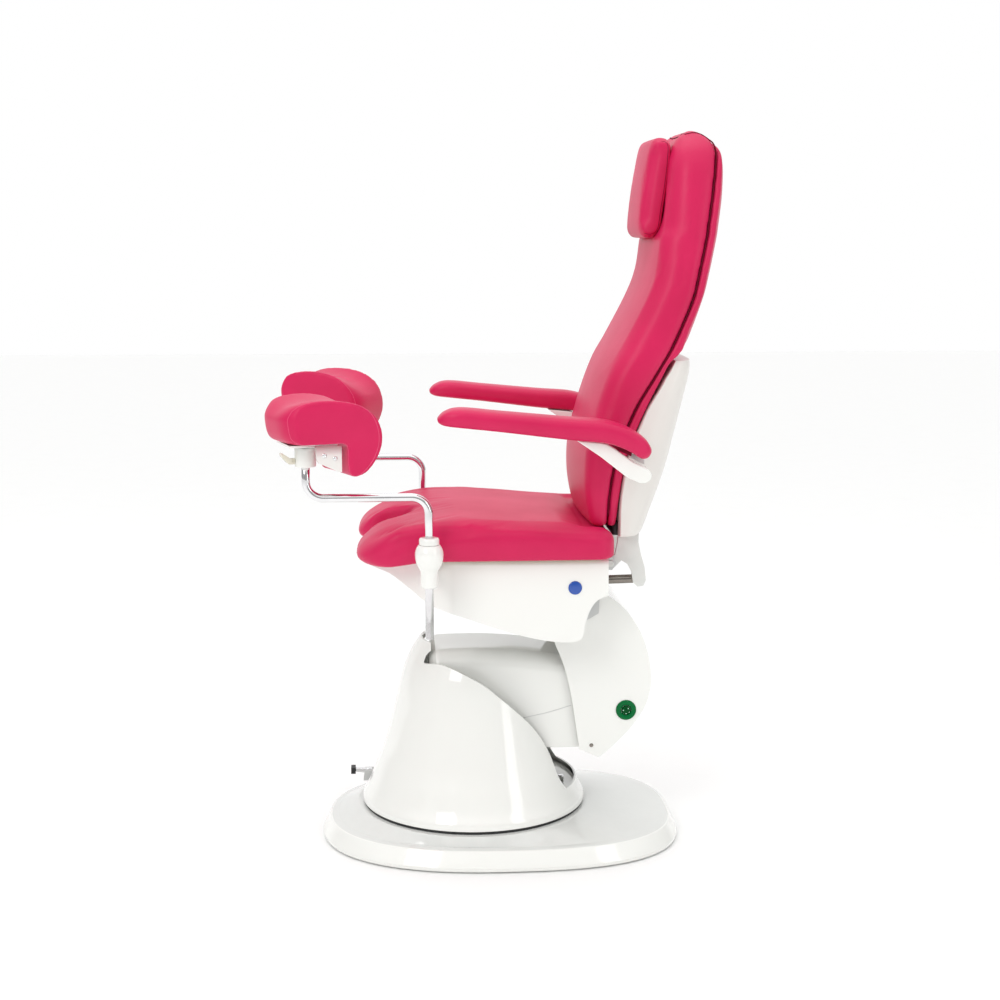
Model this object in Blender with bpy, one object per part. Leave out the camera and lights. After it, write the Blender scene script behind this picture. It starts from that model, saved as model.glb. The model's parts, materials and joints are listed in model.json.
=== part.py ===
import math

import bmesh
import bpy
from mathutils import Matrix, Vector

# Frame: metres, +Z up, the chair faces -X, origin on the swivel axis at the floor.

# Driving dimensions
GAP = 0.0003              # clearance between pieces that touch
BASE_LEN = 0.746          # base outline along X
BASE_WID = 0.550          # base outline along Y
BASE_SHIFT = 0.0555       # base outline centre behind the swivel axis
PLATE_T = 0.012           # steel base plate
RIM_Z = 0.041             # top of the base rim
DOME_Z = 0.0655           # base cover height at the bell
BELL_R = 0.2346           # bell radius at its foot
BELL_Z = 0.072            # bell foot above the floor
WALL = 0.004              # moulded wall
ARM_HALF = 0.095          # lift arm cover half width
LIFT_X, LIFT_Z = -0.070, 0.376      # lift pivot
CARRY_X, CARRY_Z = 0.240, 0.240     # carrier pivot
TIE_DROP = 0.034          # tie rod pivots below the arm pivots
CHEEK_HALF = 0.108        # crescent half width
TILT_X, TILT_Z = 0.225, 0.500       # seat tilt pivot
SEAT_HALF = 0.245         # seat cushion half width
SEAT_Z = 0.6285           # cushion underside
SEAT_TOP = 0.704          # cushion top
BACK_HALF = 0.195         # backrest half width
RECLINE_X, RECLINE_Z = 0.265, 0.600  # backrest pivot
EYE_X, EYE_Z = 0.326, 0.563          # back drive eye
ARMREST_Y = 0.290         # armrest centre line
ARMREST_X, ARMREST_Z = 0.310, 0.797  # armrest pivot
LEG_X = -0.098            # leg rod axis
LEG_Y = SEAT_HALF + 0.041  # leg rods stand clear of the cushion
ROD_R = 0.008             # leg rod radius
HOLD_X = -0.329           # crutch holder axis
DRIVE_X, DRIVE_Z = 0.020, 0.553      # back drive trunnion
DRIVE_Y = CHEEK_HALF + 0.028         # back drive line, beside the seat frame
PLATE_OUT = 0.0195        # back frame plates reach this far outside the drive line

for o in list(bpy.data.objects):
    bpy.data.objects.remove(o, do_unlink=True)

MATS = {}


def mat(name, rgb, metal=0.0, rough=0.4):
    m = bpy.data.materials.new(name)
    m.use_nodes = True
    b = m.node_tree.nodes["Principled BSDF"]
    b.inputs["Base Color"].default_value = (*rgb, 1.0)
    b.inputs["Metallic"].default_value = metal
    b.inputs["Roughness"].default_value = rough
    MATS[name] = m


mat("steel_painted", (0.55, 0.56, 0.56), 0.0, 0.5)
mat("steel_plate", (0.62, 0.63, 0.62), 0.0, 0.5)
mat("white_gloss", (0.90, 0.90, 0.86), 0.0, 0.2)
mat("white_base", (0.80, 0.81, 0.79), 0.0, 0.3)
mat("white_back", (0.80, 0.77, 0.73), 0.0, 0.35)
mat("bracket_grey", (0.70, 0.71, 0.68), 0.0, 0.4)
mat("chrome", (0.85, 0.85, 0.86), 1.0, 0.12)
mat("black_rubber", (0.02, 0.02, 0.02), 0.0, 0.7)
mat("pink_vinyl", (0.80, 0.04, 0.16), 0.0, 0.45)
mat("green_plastic", (0.0, 0.30, 0.09), 0.0, 0.25)
mat("blue_plastic", (0.02, 0.08, 0.42), 0.0, 0.3)
mat("ply_board", (0.45, 0.32, 0.20), 0.0, 0.6)

BODIES = {}


def body(name, at=(0.0, 0.0, 0.0), parent=None):
    e = bpy.data.objects.new("body_" + name, None)
    bpy.context.scene.collection.objects.link(e)
    at = Vector(at)
    if parent:
        e.parent = BODIES[parent][0]
        e.location = at - BODIES[parent][1]
    else:
        e.location = at
    BODIES[name] = (e, at)


def link(name, bm, material, owner, smooth=30.0):
    e, at = BODIES[owner]
    bmesh.ops.translate(bm, vec=-at, verts=bm.verts)
    bmesh.ops.recalc_face_normals(bm, faces=bm.faces)
    me = bpy.data.meshes.new(name)
    bm.to_mesh(me)
    bm.free()
    me.materials.append(MATS[material])
    ob = bpy.data.objects.new(name, me)
    bpy.context.scene.collection.objects.link(ob)
    ob.parent = e
    if smooth:
        me.shade_smooth()
        me.set_sharp_from_angle(angle=math.radians(smooth))
    return ob


def prism(poly, y0, y1, axis="Y"):
    bm = bmesh.new()
    place = {"Y": lambda a, b, t: (a, t, b), "Z": lambda a, b, t: (a, b, t),
             "X": lambda a, b, t: (t, a, b)}[axis]
    low = [bm.verts.new(place(a, b, y0)) for a, b in poly]
    top = [bm.verts.new(place(a, b, y1)) for a, b in poly]
    bm.faces.new(low)
    bm.faces.new(top)
    n = len(poly)
    for i in range(n):
        bm.faces.new((low[i], low[(i + 1) % n], top[(i + 1) % n], top[i]))
    bmesh.ops.recalc_face_normals(bm, faces=bm.faces)
    return bm


def box(x0, x1, y0, y1, z0, z1):
    return prism([(x0, z0), (x1, z0), (x1, z1), (x0, z1)], y0, y1)


def turned(profile, n=24, centre=(0.0, 0.0, 0.0), axis="Z"):
    # closed profile of (radius, height) pairs turned about an axis; a pair of zero radius is a pole
    bm = bmesh.new()
    rings = []
    for r, h in profile:
        if r < 1e-7:
            rings.append([bm.verts.new((0, 0, h))])
        else:
            rings.append([bm.verts.new((r * math.cos(2 * math.pi * i / n),
                                        r * math.sin(2 * math.pi * i / n), h)) for i in range(n)])
    m = len(rings)
    closed = all(len(q) > 1 for q in rings)
    for k in range(m if closed else m - 1):
        a, b = rings[k], rings[(k + 1) % m]
        for i in range(n):
            j = (i + 1) % n
            q = [a[i % len(a)], a[j % len(a)], b[j % len(b)], b[i % len(b)]]
            bm.faces.new(list(dict.fromkeys(q)))
    bmesh.ops.recalc_face_normals(bm, faces=bm.faces)
    turn = {"Z": Matrix(), "Y": Matrix.Rotation(-math.pi / 2, 4, "X"),
            "X": Matrix.Rotation(math.pi / 2, 4, "Y")}[axis]
    bmesh.ops.transform(bm, matrix=Matrix.Translation(centre) @ turn, verts=bm.verts)
    return bm


def drum(radius, h0, h1, n=20, centre=(0.0, 0.0, 0.0), axis="Z", edge=0.0):
    e = min(edge, radius * 0.5)
    if e > 0:
        p = [(0, h0), (radius - e, h0), (radius, h0 + e), (radius, h1 - e), (radius - e, h1), (0, h1)]
    else:
        p = [(0, h0), (radius, h0), (radius, h1), (0, h1)]
    return turned(p, n, centre, axis)


def sleeve(r0, r1, h0, h1, n=20, centre=(0.0, 0.0, 0.0), axis="Z"):
    return turned([(r0, h0), (r1, h0), (r1, h1), (r0, h1)], n, centre, axis)


def loft(rings, closed=False):
    # rings of equal length skinned in order; the ends are capped unless the loft is closed
    bm = bmesh.new()
    rows = [[bm.verts.new(p) for p in ring] for ring in rings]
    n = len(rows[0])
    count = len(rows) if closed else len(rows) - 1
    for k in range(count):
        a, b = rows[k], rows[(k + 1) % len(rows)]
        for i in range(n):
            j = (i + 1) % n
            bm.faces.new((a[i], a[j], b[j], b[i]))
    if not closed:
        bm.faces.new(rows[0])
        bm.faces.new(rows[-1])
    bmesh.ops.recalc_face_normals(bm, faces=bm.faces)
    return bm


def bent(path, radius, bend, n=10, steps=5):
    # round bar along a path of points with filleted corners, all in one plane of constant y
    pts = [Vector(path[0])]
    for a, b, c in zip(path, path[1:], path[2:]):
        a, b, c = Vector(a), Vector(b), Vector(c)
        u, v = (a - b).normalized(), (c - b).normalized()
        half = u.angle(v) / 2
        cut = bend / math.tan(half)
        centre = b + (u + v).normalized() * (bend / math.sin(half))
        p, q = b + u * cut - centre, b + v * cut - centre
        ax = p.cross(q).normalized()
        full = p.angle(q)
        pts += [centre + Matrix.Rotation(full * i / steps, 3, ax) @ p for i in range(steps + 1)]
    pts.append(Vector(path[-1]))
    side = Vector((0, 1, 0))
    rings = []
    for i, p in enumerate(pts):
        d = (pts[min(i + 1, len(pts) - 1)] - pts[max(i - 1, 0)]).normalized()
        up = d.cross(side).normalized()
        rings.append([p + radius * (math.cos(t) * side + math.sin(t) * up)
                      for t in (2 * math.pi * k / n for k in range(n))])
    return loft(rings)


def mesh_of(bm, name):
    bmesh.ops.recalc_face_normals(bm, faces=bm.faces)
    me = bpy.data.meshes.new(name)
    bm.to_mesh(me)
    bm.free()
    ob = bpy.data.objects.new(name, me)
    bpy.context.scene.collection.objects.link(ob)
    return ob


def combine(first, others, how="UNION"):
    # exact boolean of one body with others; gives back a bmesh
    base = mesh_of(first, "work")
    made = []
    for k, bm in enumerate(others):
        ob = mesh_of(bm, "tool%d" % k)
        made.append(ob)
        m = base.modifiers.new("b%d" % k, "BOOLEAN")
        m.operation = how
        m.solver = "EXACT"
        m.object = ob
    dg = bpy.context.evaluated_depsgraph_get()
    me = bpy.data.meshes.new_from_object(base.evaluated_get(dg))
    bm = bmesh.new()
    bm.from_mesh(me)
    bmesh.ops.remove_doubles(bm, verts=bm.verts, dist=2e-6)
    bmesh.ops.dissolve_degenerate(bm, edges=bm.edges, dist=2e-6)
    for ob in [base] + made:
        bpy.data.objects.remove(ob, do_unlink=True)
    return bm


def cut(first, *others):
    return combine(first, others, "DIFFERENCE")


def fuse(first, *others):
    return combine(first, others, "UNION")


def bore(radius, n):
    # hole for a shaft of the same facet count that still clears it when turned
    return radius / math.cos(math.pi / n) + GAP


def lerp(a, b, t):
    return a + (b - a) * t


def table(points, x):
    # straight-line reading of a table of (x, value...) rows
    if x <= points[0][0]:
        return points[0][1:]
    for p, q in zip(points, points[1:]):
        if x <= q[0]:
            t = (x - p[0]) / (q[0] - p[0])
            return tuple(lerp(a, b, t) for a, b in zip(p[1:], q[1:]))
    return points[-1][1:]


def outline(theta, inset=0.0):
    # base outline: a superellipse about its own centre, squarer behind, as a radius from the swivel axis
    a, b = BASE_LEN / 2 - inset, BASE_WID / 2 - inset
    lo, hi = 0.0, 2.0
    c, s = math.cos(theta), math.sin(theta)
    for _ in range(40):
        r = (lo + hi) / 2
        u, v = (r * c - BASE_SHIFT) / a, r * s / b
        n = 2.7 if u > 0 else 2.35
        if abs(u) ** n + abs(v) ** n > 1:
            hi = r
        else:
            lo = r
    return lo


def base_ring(inset, z, n=44, round_r=None, t=0.0):
    ring = []
    for i in range(n):
        th = 2 * math.pi * i / n
        r = outline(th, inset)
        if round_r is not None:
            r = lerp(r, round_r, t)
        ring.append((r * math.cos(th), r * math.sin(th), z))
    return ring


def build_base():
    body("base")
    link("base_plate", loft([base_ring(0.012, 0.0), base_ring(0.012, PLATE_T)]), "steel_plate", "base")
    foot, inner, top = PLATE_T + GAP, 0.150, DOME_Z
    under = RIM_Z - 2 * WALL
    rings = [base_ring(0.004, foot), base_ring(0.0, foot + 0.006), base_ring(0.004, RIM_Z - 0.008),
             base_ring(0.013, RIM_Z - 0.001), base_ring(0.024, RIM_Z + 0.003),
             base_ring(0.024, lerp(RIM_Z, top, 0.55), round_r=BELL_R + 0.008, t=0.55),
             base_ring(0.024, top, round_r=BELL_R + 0.008, t=1.0),
             base_ring(0.024, top, round_r=inner, t=1.0),
             base_ring(0.024, top - WALL, round_r=inner, t=1.0),
             base_ring(0.024, top - WALL, round_r=BELL_R - 0.01, t=1.0),
             base_ring(0.032, under, round_r=inner, t=0.10), base_ring(0.030, foot)]
    link("base_cover", loft(rings, closed=True), "white_base", "base")
    link("swivel_bearing", sleeve(0.090, 0.140, PLATE_T + GAP, BELL_Z - 0.006, 32), "steel_painted",
         "base")
    link("seal_ring", sleeve(BELL_R - 0.016, BELL_R - 0.003, DOME_Z + GAP, BELL_Z - 0.0012, 48),
         "black_rubber", "base")


BELL = [(0.0, 1.000), (0.008, 0.9935), (0.032, 0.940), (0.065, 0.890), (0.115, 0.806), (0.189, 0.720),
        (0.245, 0.664), (0.284, 0.618), (0.315, 0.560), (0.337, 0.503), (0.346, 0.470)]
ARC = [(-0.103, 0.3800), (-0.070, 0.3835), (-0.031, 0.371), (0.012, 0.349), (0.044, 0.323),
       (0.079, 0.291), (0.106, 0.263),
       (0.130, 0.231), (0.149, 0.196), (0.161, 0.166), (0.172, 0.138), (0.186, 0.116)]


def build_pedestal():
    body("pedestal", (0, 0, BELL_Z), "base")
    out = [(BELL_R * k, BELL_Z + h) for h, k in BELL]
    inn = [(r - WALL, z) for r, z in out]
    shell = turned(out + inn[::-1], 44)
    nose = [(LIFT_X + 0.036 * math.cos(math.radians(t)), LIFT_Z + 0.036 * math.sin(math.radians(t)))
            for t in range(125, 190, 13)]
    arc = nose + ARC + [(0.40, 0.112), (0.40, 0.60), (-0.0905, 0.60)]
    shell = cut(shell, prism(arc, -0.4, 0.4))
    link("pedestal_shell", shell, "white_gloss", "pedestal", 35)

    deck = BELL_Z - 0.006 + GAP
    rim = BELL_R * 0.9935 - WALL - 2 * GAP
    link("turntable", turned([(0, deck), (rim - 0.030, deck), (rim - 0.030, BELL_Z), (rim, BELL_Z),
                              (rim, deck + 0.014), (0, deck + 0.014)], 44), "steel_painted", "pedestal")
    z0 = deck + 0.014 + GAP
    side = [(-0.115, z0), (0.060, z0), (0.060, z0 + 0.02), (0.000, 0.300),
            (LIFT_X + 0.020, LIFT_Z + 0.008),
            (LIFT_X + 0.009, LIFT_Z + 0.018), (LIFT_X - 0.009, LIFT_Z + 0.018),
            (LIFT_X - 0.018, LIFT_Z + 0.006), (LIFT_X - 0.0175, LIFT_Z - 0.010),
            (LIFT_X - 0.007, LIFT_Z - 0.022), (LIFT_X - 0.006, LIFT_Z - 0.036), (-0.100, 0.280)]
    frame = prism(side, 0.050, 0.060)
    frame = fuse(frame, prism(side, -0.060, -0.050), box(-0.110, 0.090, -0.055, 0.055, z0, z0 + 0.010),
                 box(-0.096, -0.086, -0.055, 0.055, z0 + 0.005, 0.290))
    frame = cut(frame, drum(0.010 + GAP, -0.2, 0.2, 12, (LIFT_X, 0, LIFT_Z), "Y"))
    frame = fuse(frame, drum(0.006, -0.055, 0.055, 12, (LIFT_X, 0, LIFT_Z - TIE_DROP), "Y"))
    link("pedestal_frame", frame, "steel_painted", "pedestal")
    link("lift_shaft", drum(0.010, -0.078, 0.078, 12, (LIFT_X, 0, LIFT_Z), "Y", 0.001), "chrome",
         "pedestal")
    # lift cylinder leaning along the chord of the rod's travel
    cyl = turned([(0.0, 0.010), (0.0165, 0.010), (0.0165, CYL_LEN), (0.024, CYL_LEN), (0.024, 0.0),
                  (0.0, 0.0)], 14)
    bmesh.ops.transform(cyl, verts=cyl.verts, matrix=Matrix.Translation((CYL_X, 0, CYL_Z))
                        @ Matrix.Rotation(CYL_LEAN, 4, "Y"))
    block = box(CYL_X - 0.03, CYL_X + 0.03, -0.02, 0.02, z0 + 0.010 + GAP, CYL_Z + 0.006)
    link("lift_cylinder", fuse(cyl, block), "steel_painted", "pedestal")
    bolt = (0.767 * BELL_R, -0.2217 * BELL_R, z0)
    link("notch_bolt", drum(0.007, 0.0, 0.046, 12, bolt, "Z", 0.002), "chrome", "pedestal")


# the rod keeps its direction while its pin swings, so the cylinder lies along the chord of that swing
LIFT_TURN = math.radians(48.0)
ROD_X, ROD_Z = 0.058, 0.310
CYL_Z, CYL_LEN = 0.128, 0.157
SWING_MID = math.atan2(ROD_Z - LIFT_Z, ROD_X - LIFT_X) + LIFT_TURN / 2
SAG = math.hypot(ROD_X - LIFT_X, ROD_Z - LIFT_Z) * (1 - math.cos(LIFT_TURN / 2)) / 2
CYL_LEAN = -SWING_MID
CYL_X = (ROD_X + SAG * math.cos(SWING_MID)
         - (ROD_Z + SAG * math.sin(SWING_MID) - CYL_Z) * math.tan(CYL_LEAN))


def build_pedal():
    # brake pedal on the base cover beside the bell: bracket fixed to the base, lever turns about Y
    px, py, pz = PEDAL
    z0 = DOME_Z + GAP
    bracket = prism([(px - 0.013, z0 - 0.004), (px + 0.013, z0 - 0.004), (px + 0.010, pz + 0.006),
                     (px - 0.010, pz + 0.006)], py + 0.0085, py + 0.0125)
    bracket = fuse(bracket, prism([(px - 0.013, z0 - 0.004), (px + 0.013, z0 - 0.004),
                                   (px + 0.010, pz + 0.006),
                                   (px - 0.010, pz + 0.006)], py - 0.0125, py - 0.0085),
                   box(px - 0.013, px + 0.013, py - 0.0125, py + 0.0125, z0 - 0.004, z0 + 0.003))
    bracket = cut(bracket, box(px - 0.05, px + 0.05, py - 0.05, py + 0.05, z0 - 0.02, z0))
    bracket = fuse(bracket, drum(0.004, -0.0145, 0.0145, 12, (px, py, pz), "Y"))
    link("pedal_bracket", bracket, "steel_painted", "base")
    body("brake_pedal", (px, py, pz), "base")
    lever = fuse(drum(0.0085, -0.0075, 0.0075, 12, (px, py, pz), "Y"),
                 prism([(px - 0.030, pz + 0.008), (px - 0.030, pz + 0.001), (px, pz - 0.004),
                        (px, pz + 0.006)],
                       py - 0.006, py + 0.006))
    link("pedal_lever", cut(lever, drum(0.004 + GAP, -0.1, 0.1, 12, (px, py, pz), "Y")), "chrome",
         "brake_pedal")
    tip = box(px - 0.040, px - 0.030 - GAP, py - 0.012, py + 0.012, pz - 0.002, pz + 0.011)
    link("pedal_tip", tip, "black_rubber", "brake_pedal")


PEDAL_R = BELL_R + 0.0227            # pedal pivot outside the bell
PEDAL = (-0.8629 * PEDAL_R, 0.5053 * PEDAL_R, 0.083)
COVER = [(-0.097, 0.052, 0.384, 0.368), (-0.093, 0.074, 0.393, 0.358), (-0.084, 0.089, 0.401, 0.348),
         (-0.070, 0.095, 0.405, 0.338), (0.000, 0.095, 0.4065, 0.276), (0.070, 0.095, 0.403, 0.222),
         (0.130, 0.095, 0.396, 0.200), (0.191, 0.095, 0.3885, 0.200)]


def u_ring(x, half, top, low, wall, rad, shear, n=5):
    # inverted U section with round top corners; x slides with height by the shear
    def arc(h, z1, r, sign):
        pts = []
        for i in range(n + 1):
            t = math.pi / 2 * i / n
            pts.append((sign * (h - r + r * math.cos(t)), z1 - r + r * math.sin(t)))
        return pts
    r0 = min(rad, half * 0.9, (top - low) * 0.8)
    r1 = max(r0 - wall, 0.002)
    outer = [(half, low)] + arc(half, top, r0, 1) + arc(half, top, r0, -1)[::-1] + [(-half, low)]
    inner = [(half - wall, low)] + arc(half - wall, top - wall, r1, 1) \
        + arc(half - wall, top - wall, r1, -1)[::-1] + [(-half + wall, low)]
    return [(x - shear * (z - 0.389), y, z) for y, z in outer + inner[::-1]]


def build_arm():
    body("lift_arm", (LIFT_X, 0, LIFT_Z), "pedestal")
    rings = []
    for x, half, top, low in COVER:
        k = max(0.0, (x - 0.07) / 0.113)
        rings.append(u_ring(x, half * ARM_HALF / 0.095, top, low, WALL - 0.0005, 0.034, 0.13 * k))
    link("arm_cover", loft(rings), "white_gloss", "lift_arm", 40)
    dx, dz = CARRY_X - LIFT_X, CARRY_Z - LIFT_Z
    d = math.hypot(dx, dz)
    ux, uz = dx / d, dz / d
    w = 0.0165
    side = []
    for cx, cz, s in ((LIFT_X, LIFT_Z, 1), (CARRY_X, CARRY_Z, -1)):
        for i in range(7):
            t = math.pi / 2 + math.pi * i / 6
            c, q = math.cos(t) * s * w, math.sin(t) * s * w
            side.append((cx + c * ux - q * uz, cz + c * uz + q * ux))
    frame = fuse(prism(side, 0.064, 0.074), prism(side, -0.074, -0.064),
                 drum(0.008, -0.070, 0.070, 12, (ROD_X, 0, ROD_Z), "Y"))
    reach = ARM_HALF - WALL + 0.0005 - GAP
    at = (lerp(LIFT_X, CARRY_X, 0.55), 0, lerp(LIFT_Z, CARRY_Z, 0.55))
    frame = fuse(frame, drum(0.007, -reach, reach, 12, at, "Y"))
    lug = []
    for sgn in (1, -1):
        lug.append(drum(0.0165, sgn * 0.069 - 0.004, sgn * 0.069 + 0.004, 12, (ROD_X, 0, ROD_Z), "Y"))
    frame = fuse(frame, *lug)
    frame = cut(frame, drum(bore(0.010, 12), -0.2, 0.2, 12, (LIFT_X, 0, LIFT_Z), "Y"),
                drum(bore(0.010, 12), -0.2, 0.2, 12, (CARRY_X, 0, CARRY_Z), "Y"))
    link("arm_frame", frame, "steel_painted", "lift_arm")

    body("tie_rod", (LIFT_X, 0, LIFT_Z - TIE_DROP), "pedestal")
    z = -TIE_DROP
    tie = prism([(LIFT_X - 0.006 * uz, LIFT_Z + z + 0.006 * ux),
                 (LIFT_X + 0.006 * uz, LIFT_Z + z - 0.006 * ux),
                 (CARRY_X + 0.006 * uz, CARRY_Z + z - 0.006 * ux),
                 (CARRY_X - 0.006 * uz, CARRY_Z + z + 0.006 * ux)], 0.036, 0.044)
    tie = fuse(tie, drum(0.0105, 0.034, 0.046, 12, (LIFT_X, 0, LIFT_Z + z), "Y"),
               drum(0.0105, 0.034, 0.046, 12, (CARRY_X, 0, CARRY_Z + z), "Y"))
    tie = cut(tie, drum(0.006 + GAP, -0.2, 0.2, 12, (LIFT_X, 0, LIFT_Z + z), "Y"),
              drum(0.006 + GAP, -0.2, 0.2, 12, (CARRY_X, 0, CARRY_Z + z), "Y"))
    link("tie_rod", tie, "bracket_grey", "tie_rod")

    body("lift_rod", (ROD_X, 0, ROD_Z), "lift_arm")
    length = ROD_Z - CYL_Z - 0.022
    rod = drum(0.0075, -length, -0.004, 12)
    bmesh.ops.transform(rod, verts=rod.verts, matrix=Matrix.Translation((ROD_X, 0, ROD_Z))
                        @ Matrix.Rotation(CYL_LEAN, 4, "Y"))
    rod = fuse(rod, drum(0.0145, -0.011, 0.011, 12, (ROD_X, 0, ROD_Z), "Y"))
    link("lift_rod", cut(rod, drum(0.008 + GAP, -0.1, 0.1, 12, (ROD_X, 0, ROD_Z), "Y")), "chrome",
         "lift_rod")


CRESCENT = [(0.160, 0.428), (0.180, 0.377), (0.192, 0.330), (0.200, 0.286), (0.207, 0.240), (0.213, 0.199),
            (0.253, 0.181), (0.275, 0.198), (0.310, 0.233), (0.334, 0.263), (0.350, 0.292), (0.359, 0.324),
            (0.3605, 0.348), (0.357, 0.378), (0.350, 0.410), (0.338, 0.443), (0.323, 0.469),
            (0.306, 0.492),
            (0.284, 0.512), (0.258, 0.528), (0.236, 0.534), (0.205, 0.534), (0.172, 0.500), (0.158, 0.450)]


def inset_poly(poly, d):
    # moves every edge of a clockwise or counter-clockwise polygon inward by d
    area = sum(a[0] * b[1] - b[0] * a[1] for a, b in zip(poly, poly[1:] + poly[:1]))
    s = 1 if area > 0 else -1
    out = []
    n = len(poly)
    for i in range(n):
        p, q, r = Vector(poly[i - 1]), Vector(poly[i]), Vector(poly[(i + 1) % n])
        u, v = (q - p).normalized(), (r - q).normalized()
        na, nb = Vector((-u.y, u.x)) * s, Vector((-v.y, v.x)) * s
        m = (na + nb).normalized()
        out.append(tuple(q + m * (d / max(m.dot(na), 0.3))))
    return out


def build_carrier():
    body("seat_carrier", (CARRY_X, 0, CARRY_Z), "lift_arm")
    inner = inset_poly(CRESCENT, WALL)
    hollow = [(0.10, 0.428)] + [(0.10, 0.165), (0.2400, 0.165)] + inner[6:20] + [(0.236, 0.60),
                                                                                 (0.10, 0.60)]
    shell = cut(prism(CRESCENT, -CHEEK_HALF, CHEEK_HALF),
                prism(hollow, -CHEEK_HALF + WALL, CHEEK_HALF - WALL),
                drum(0.012 + GAP, -0.2, 0.2, 14, (TILT_X, 0, TILT_Z), "Y"),
                drum(0.0127 + GAP, -CHEEK_HALF - 0.02, -CHEEK_HALF + 0.02, 20, (0.309, 0, 0.281), "Y"))
    link("carrier_shell", shell, "white_gloss", "seat_carrier", 25)

    side = [(CARRY_X - 0.022, CARRY_Z), (CARRY_X - 0.018, CARRY_Z - 0.040),
            (CARRY_X - 0.004, CARRY_Z - 0.050),
            (CARRY_X + 0.014, CARRY_Z - 0.046), (CARRY_X + 0.024, CARRY_Z - 0.020), (0.300, 0.300),
            (0.300, 0.400), (TILT_X + 0.026, TILT_Z), (TILT_X + 0.014, TILT_Z + 0.022),
            (TILT_X - 0.014, TILT_Z + 0.022), (TILT_X - 0.026, TILT_Z), (0.235, 0.380), (0.250, 0.300)]
    frame = fuse(prism(side, 0.080, 0.089), prism(side, -0.089, -0.080),
                 drum(0.012, -0.126, 0.126, 14, (TILT_X, 0, TILT_Z), "Y"),
                 box(0.286, 0.298, -0.085, 0.085, 0.310, 0.390))
    frame = cut(frame, drum(0.010 + GAP, -0.2, 0.2, 12, (CARRY_X, 0, CARRY_Z), "Y"))
    frame = fuse(frame, drum(0.006, -0.085, 0.085, 12, (CARRY_X, 0, CARRY_Z - TIE_DROP), "Y"))
    link("carrier_frame", frame, "steel_painted", "seat_carrier")
    link("carrier_shaft", drum(0.010, -0.094, 0.094, 12, (CARRY_X, 0, CARRY_Z), "Y", 0.001),
         "chrome", "seat_carrier")
    y = -CHEEK_HALF
    link("button_bezel", turned([(0.0165, y - 0.003), (0.0205, y - 0.0025), (0.0210, y - GAP),
                                 (0.0124, y - GAP),
                                 (0.0124, y + 0.012), (0.0100, y + 0.012), (0.0100, y - 0.0028)], 20,
                                (0.309, 0, 0.281), "Y"), "green_plastic", "seat_carrier")
    link("cheek_screw", turned([(0.0, y - 0.002), (0.003, y - 0.002), (0.0042, y - GAP),
                                (0.0, y - GAP)], 12,
                               (0.238, 0, 0.207), "Y"), "black_rubber", "seat_carrier")
    body("stop_button", (0.309, y, 0.281), "seat_carrier")
    link("stop_button", turned([(0.0, y - 0.0065), (0.0055, y - 0.006), (0.0085, y - 0.0045),
                                (0.0096, y - 0.002),
                                (0.0096, y + 0.006), (0.0, y + 0.006)], 12, (0.309, 0, 0.281), "Y"),
         "green_plastic", "stop_button")


SKIRT = [(-0.212, 0.112, 0.593), (-0.198, 0.130, 0.590), (-0.171, 0.152, 0.582), (-0.134, 0.170, 0.556),
         (-0.097, 0.184, 0.527), (-0.060, 0.196, 0.512), (-0.027, 0.203, 0.502), (0.068, 0.211, 0.471),
         (0.147, 0.213, 0.454), (0.200, 0.213, 0.456), (0.211, 0.213, 0.490), (0.221, 0.213, 0.518),
         (0.235, 0.213, 0.536), (0.256, 0.213, 0.545)]


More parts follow.
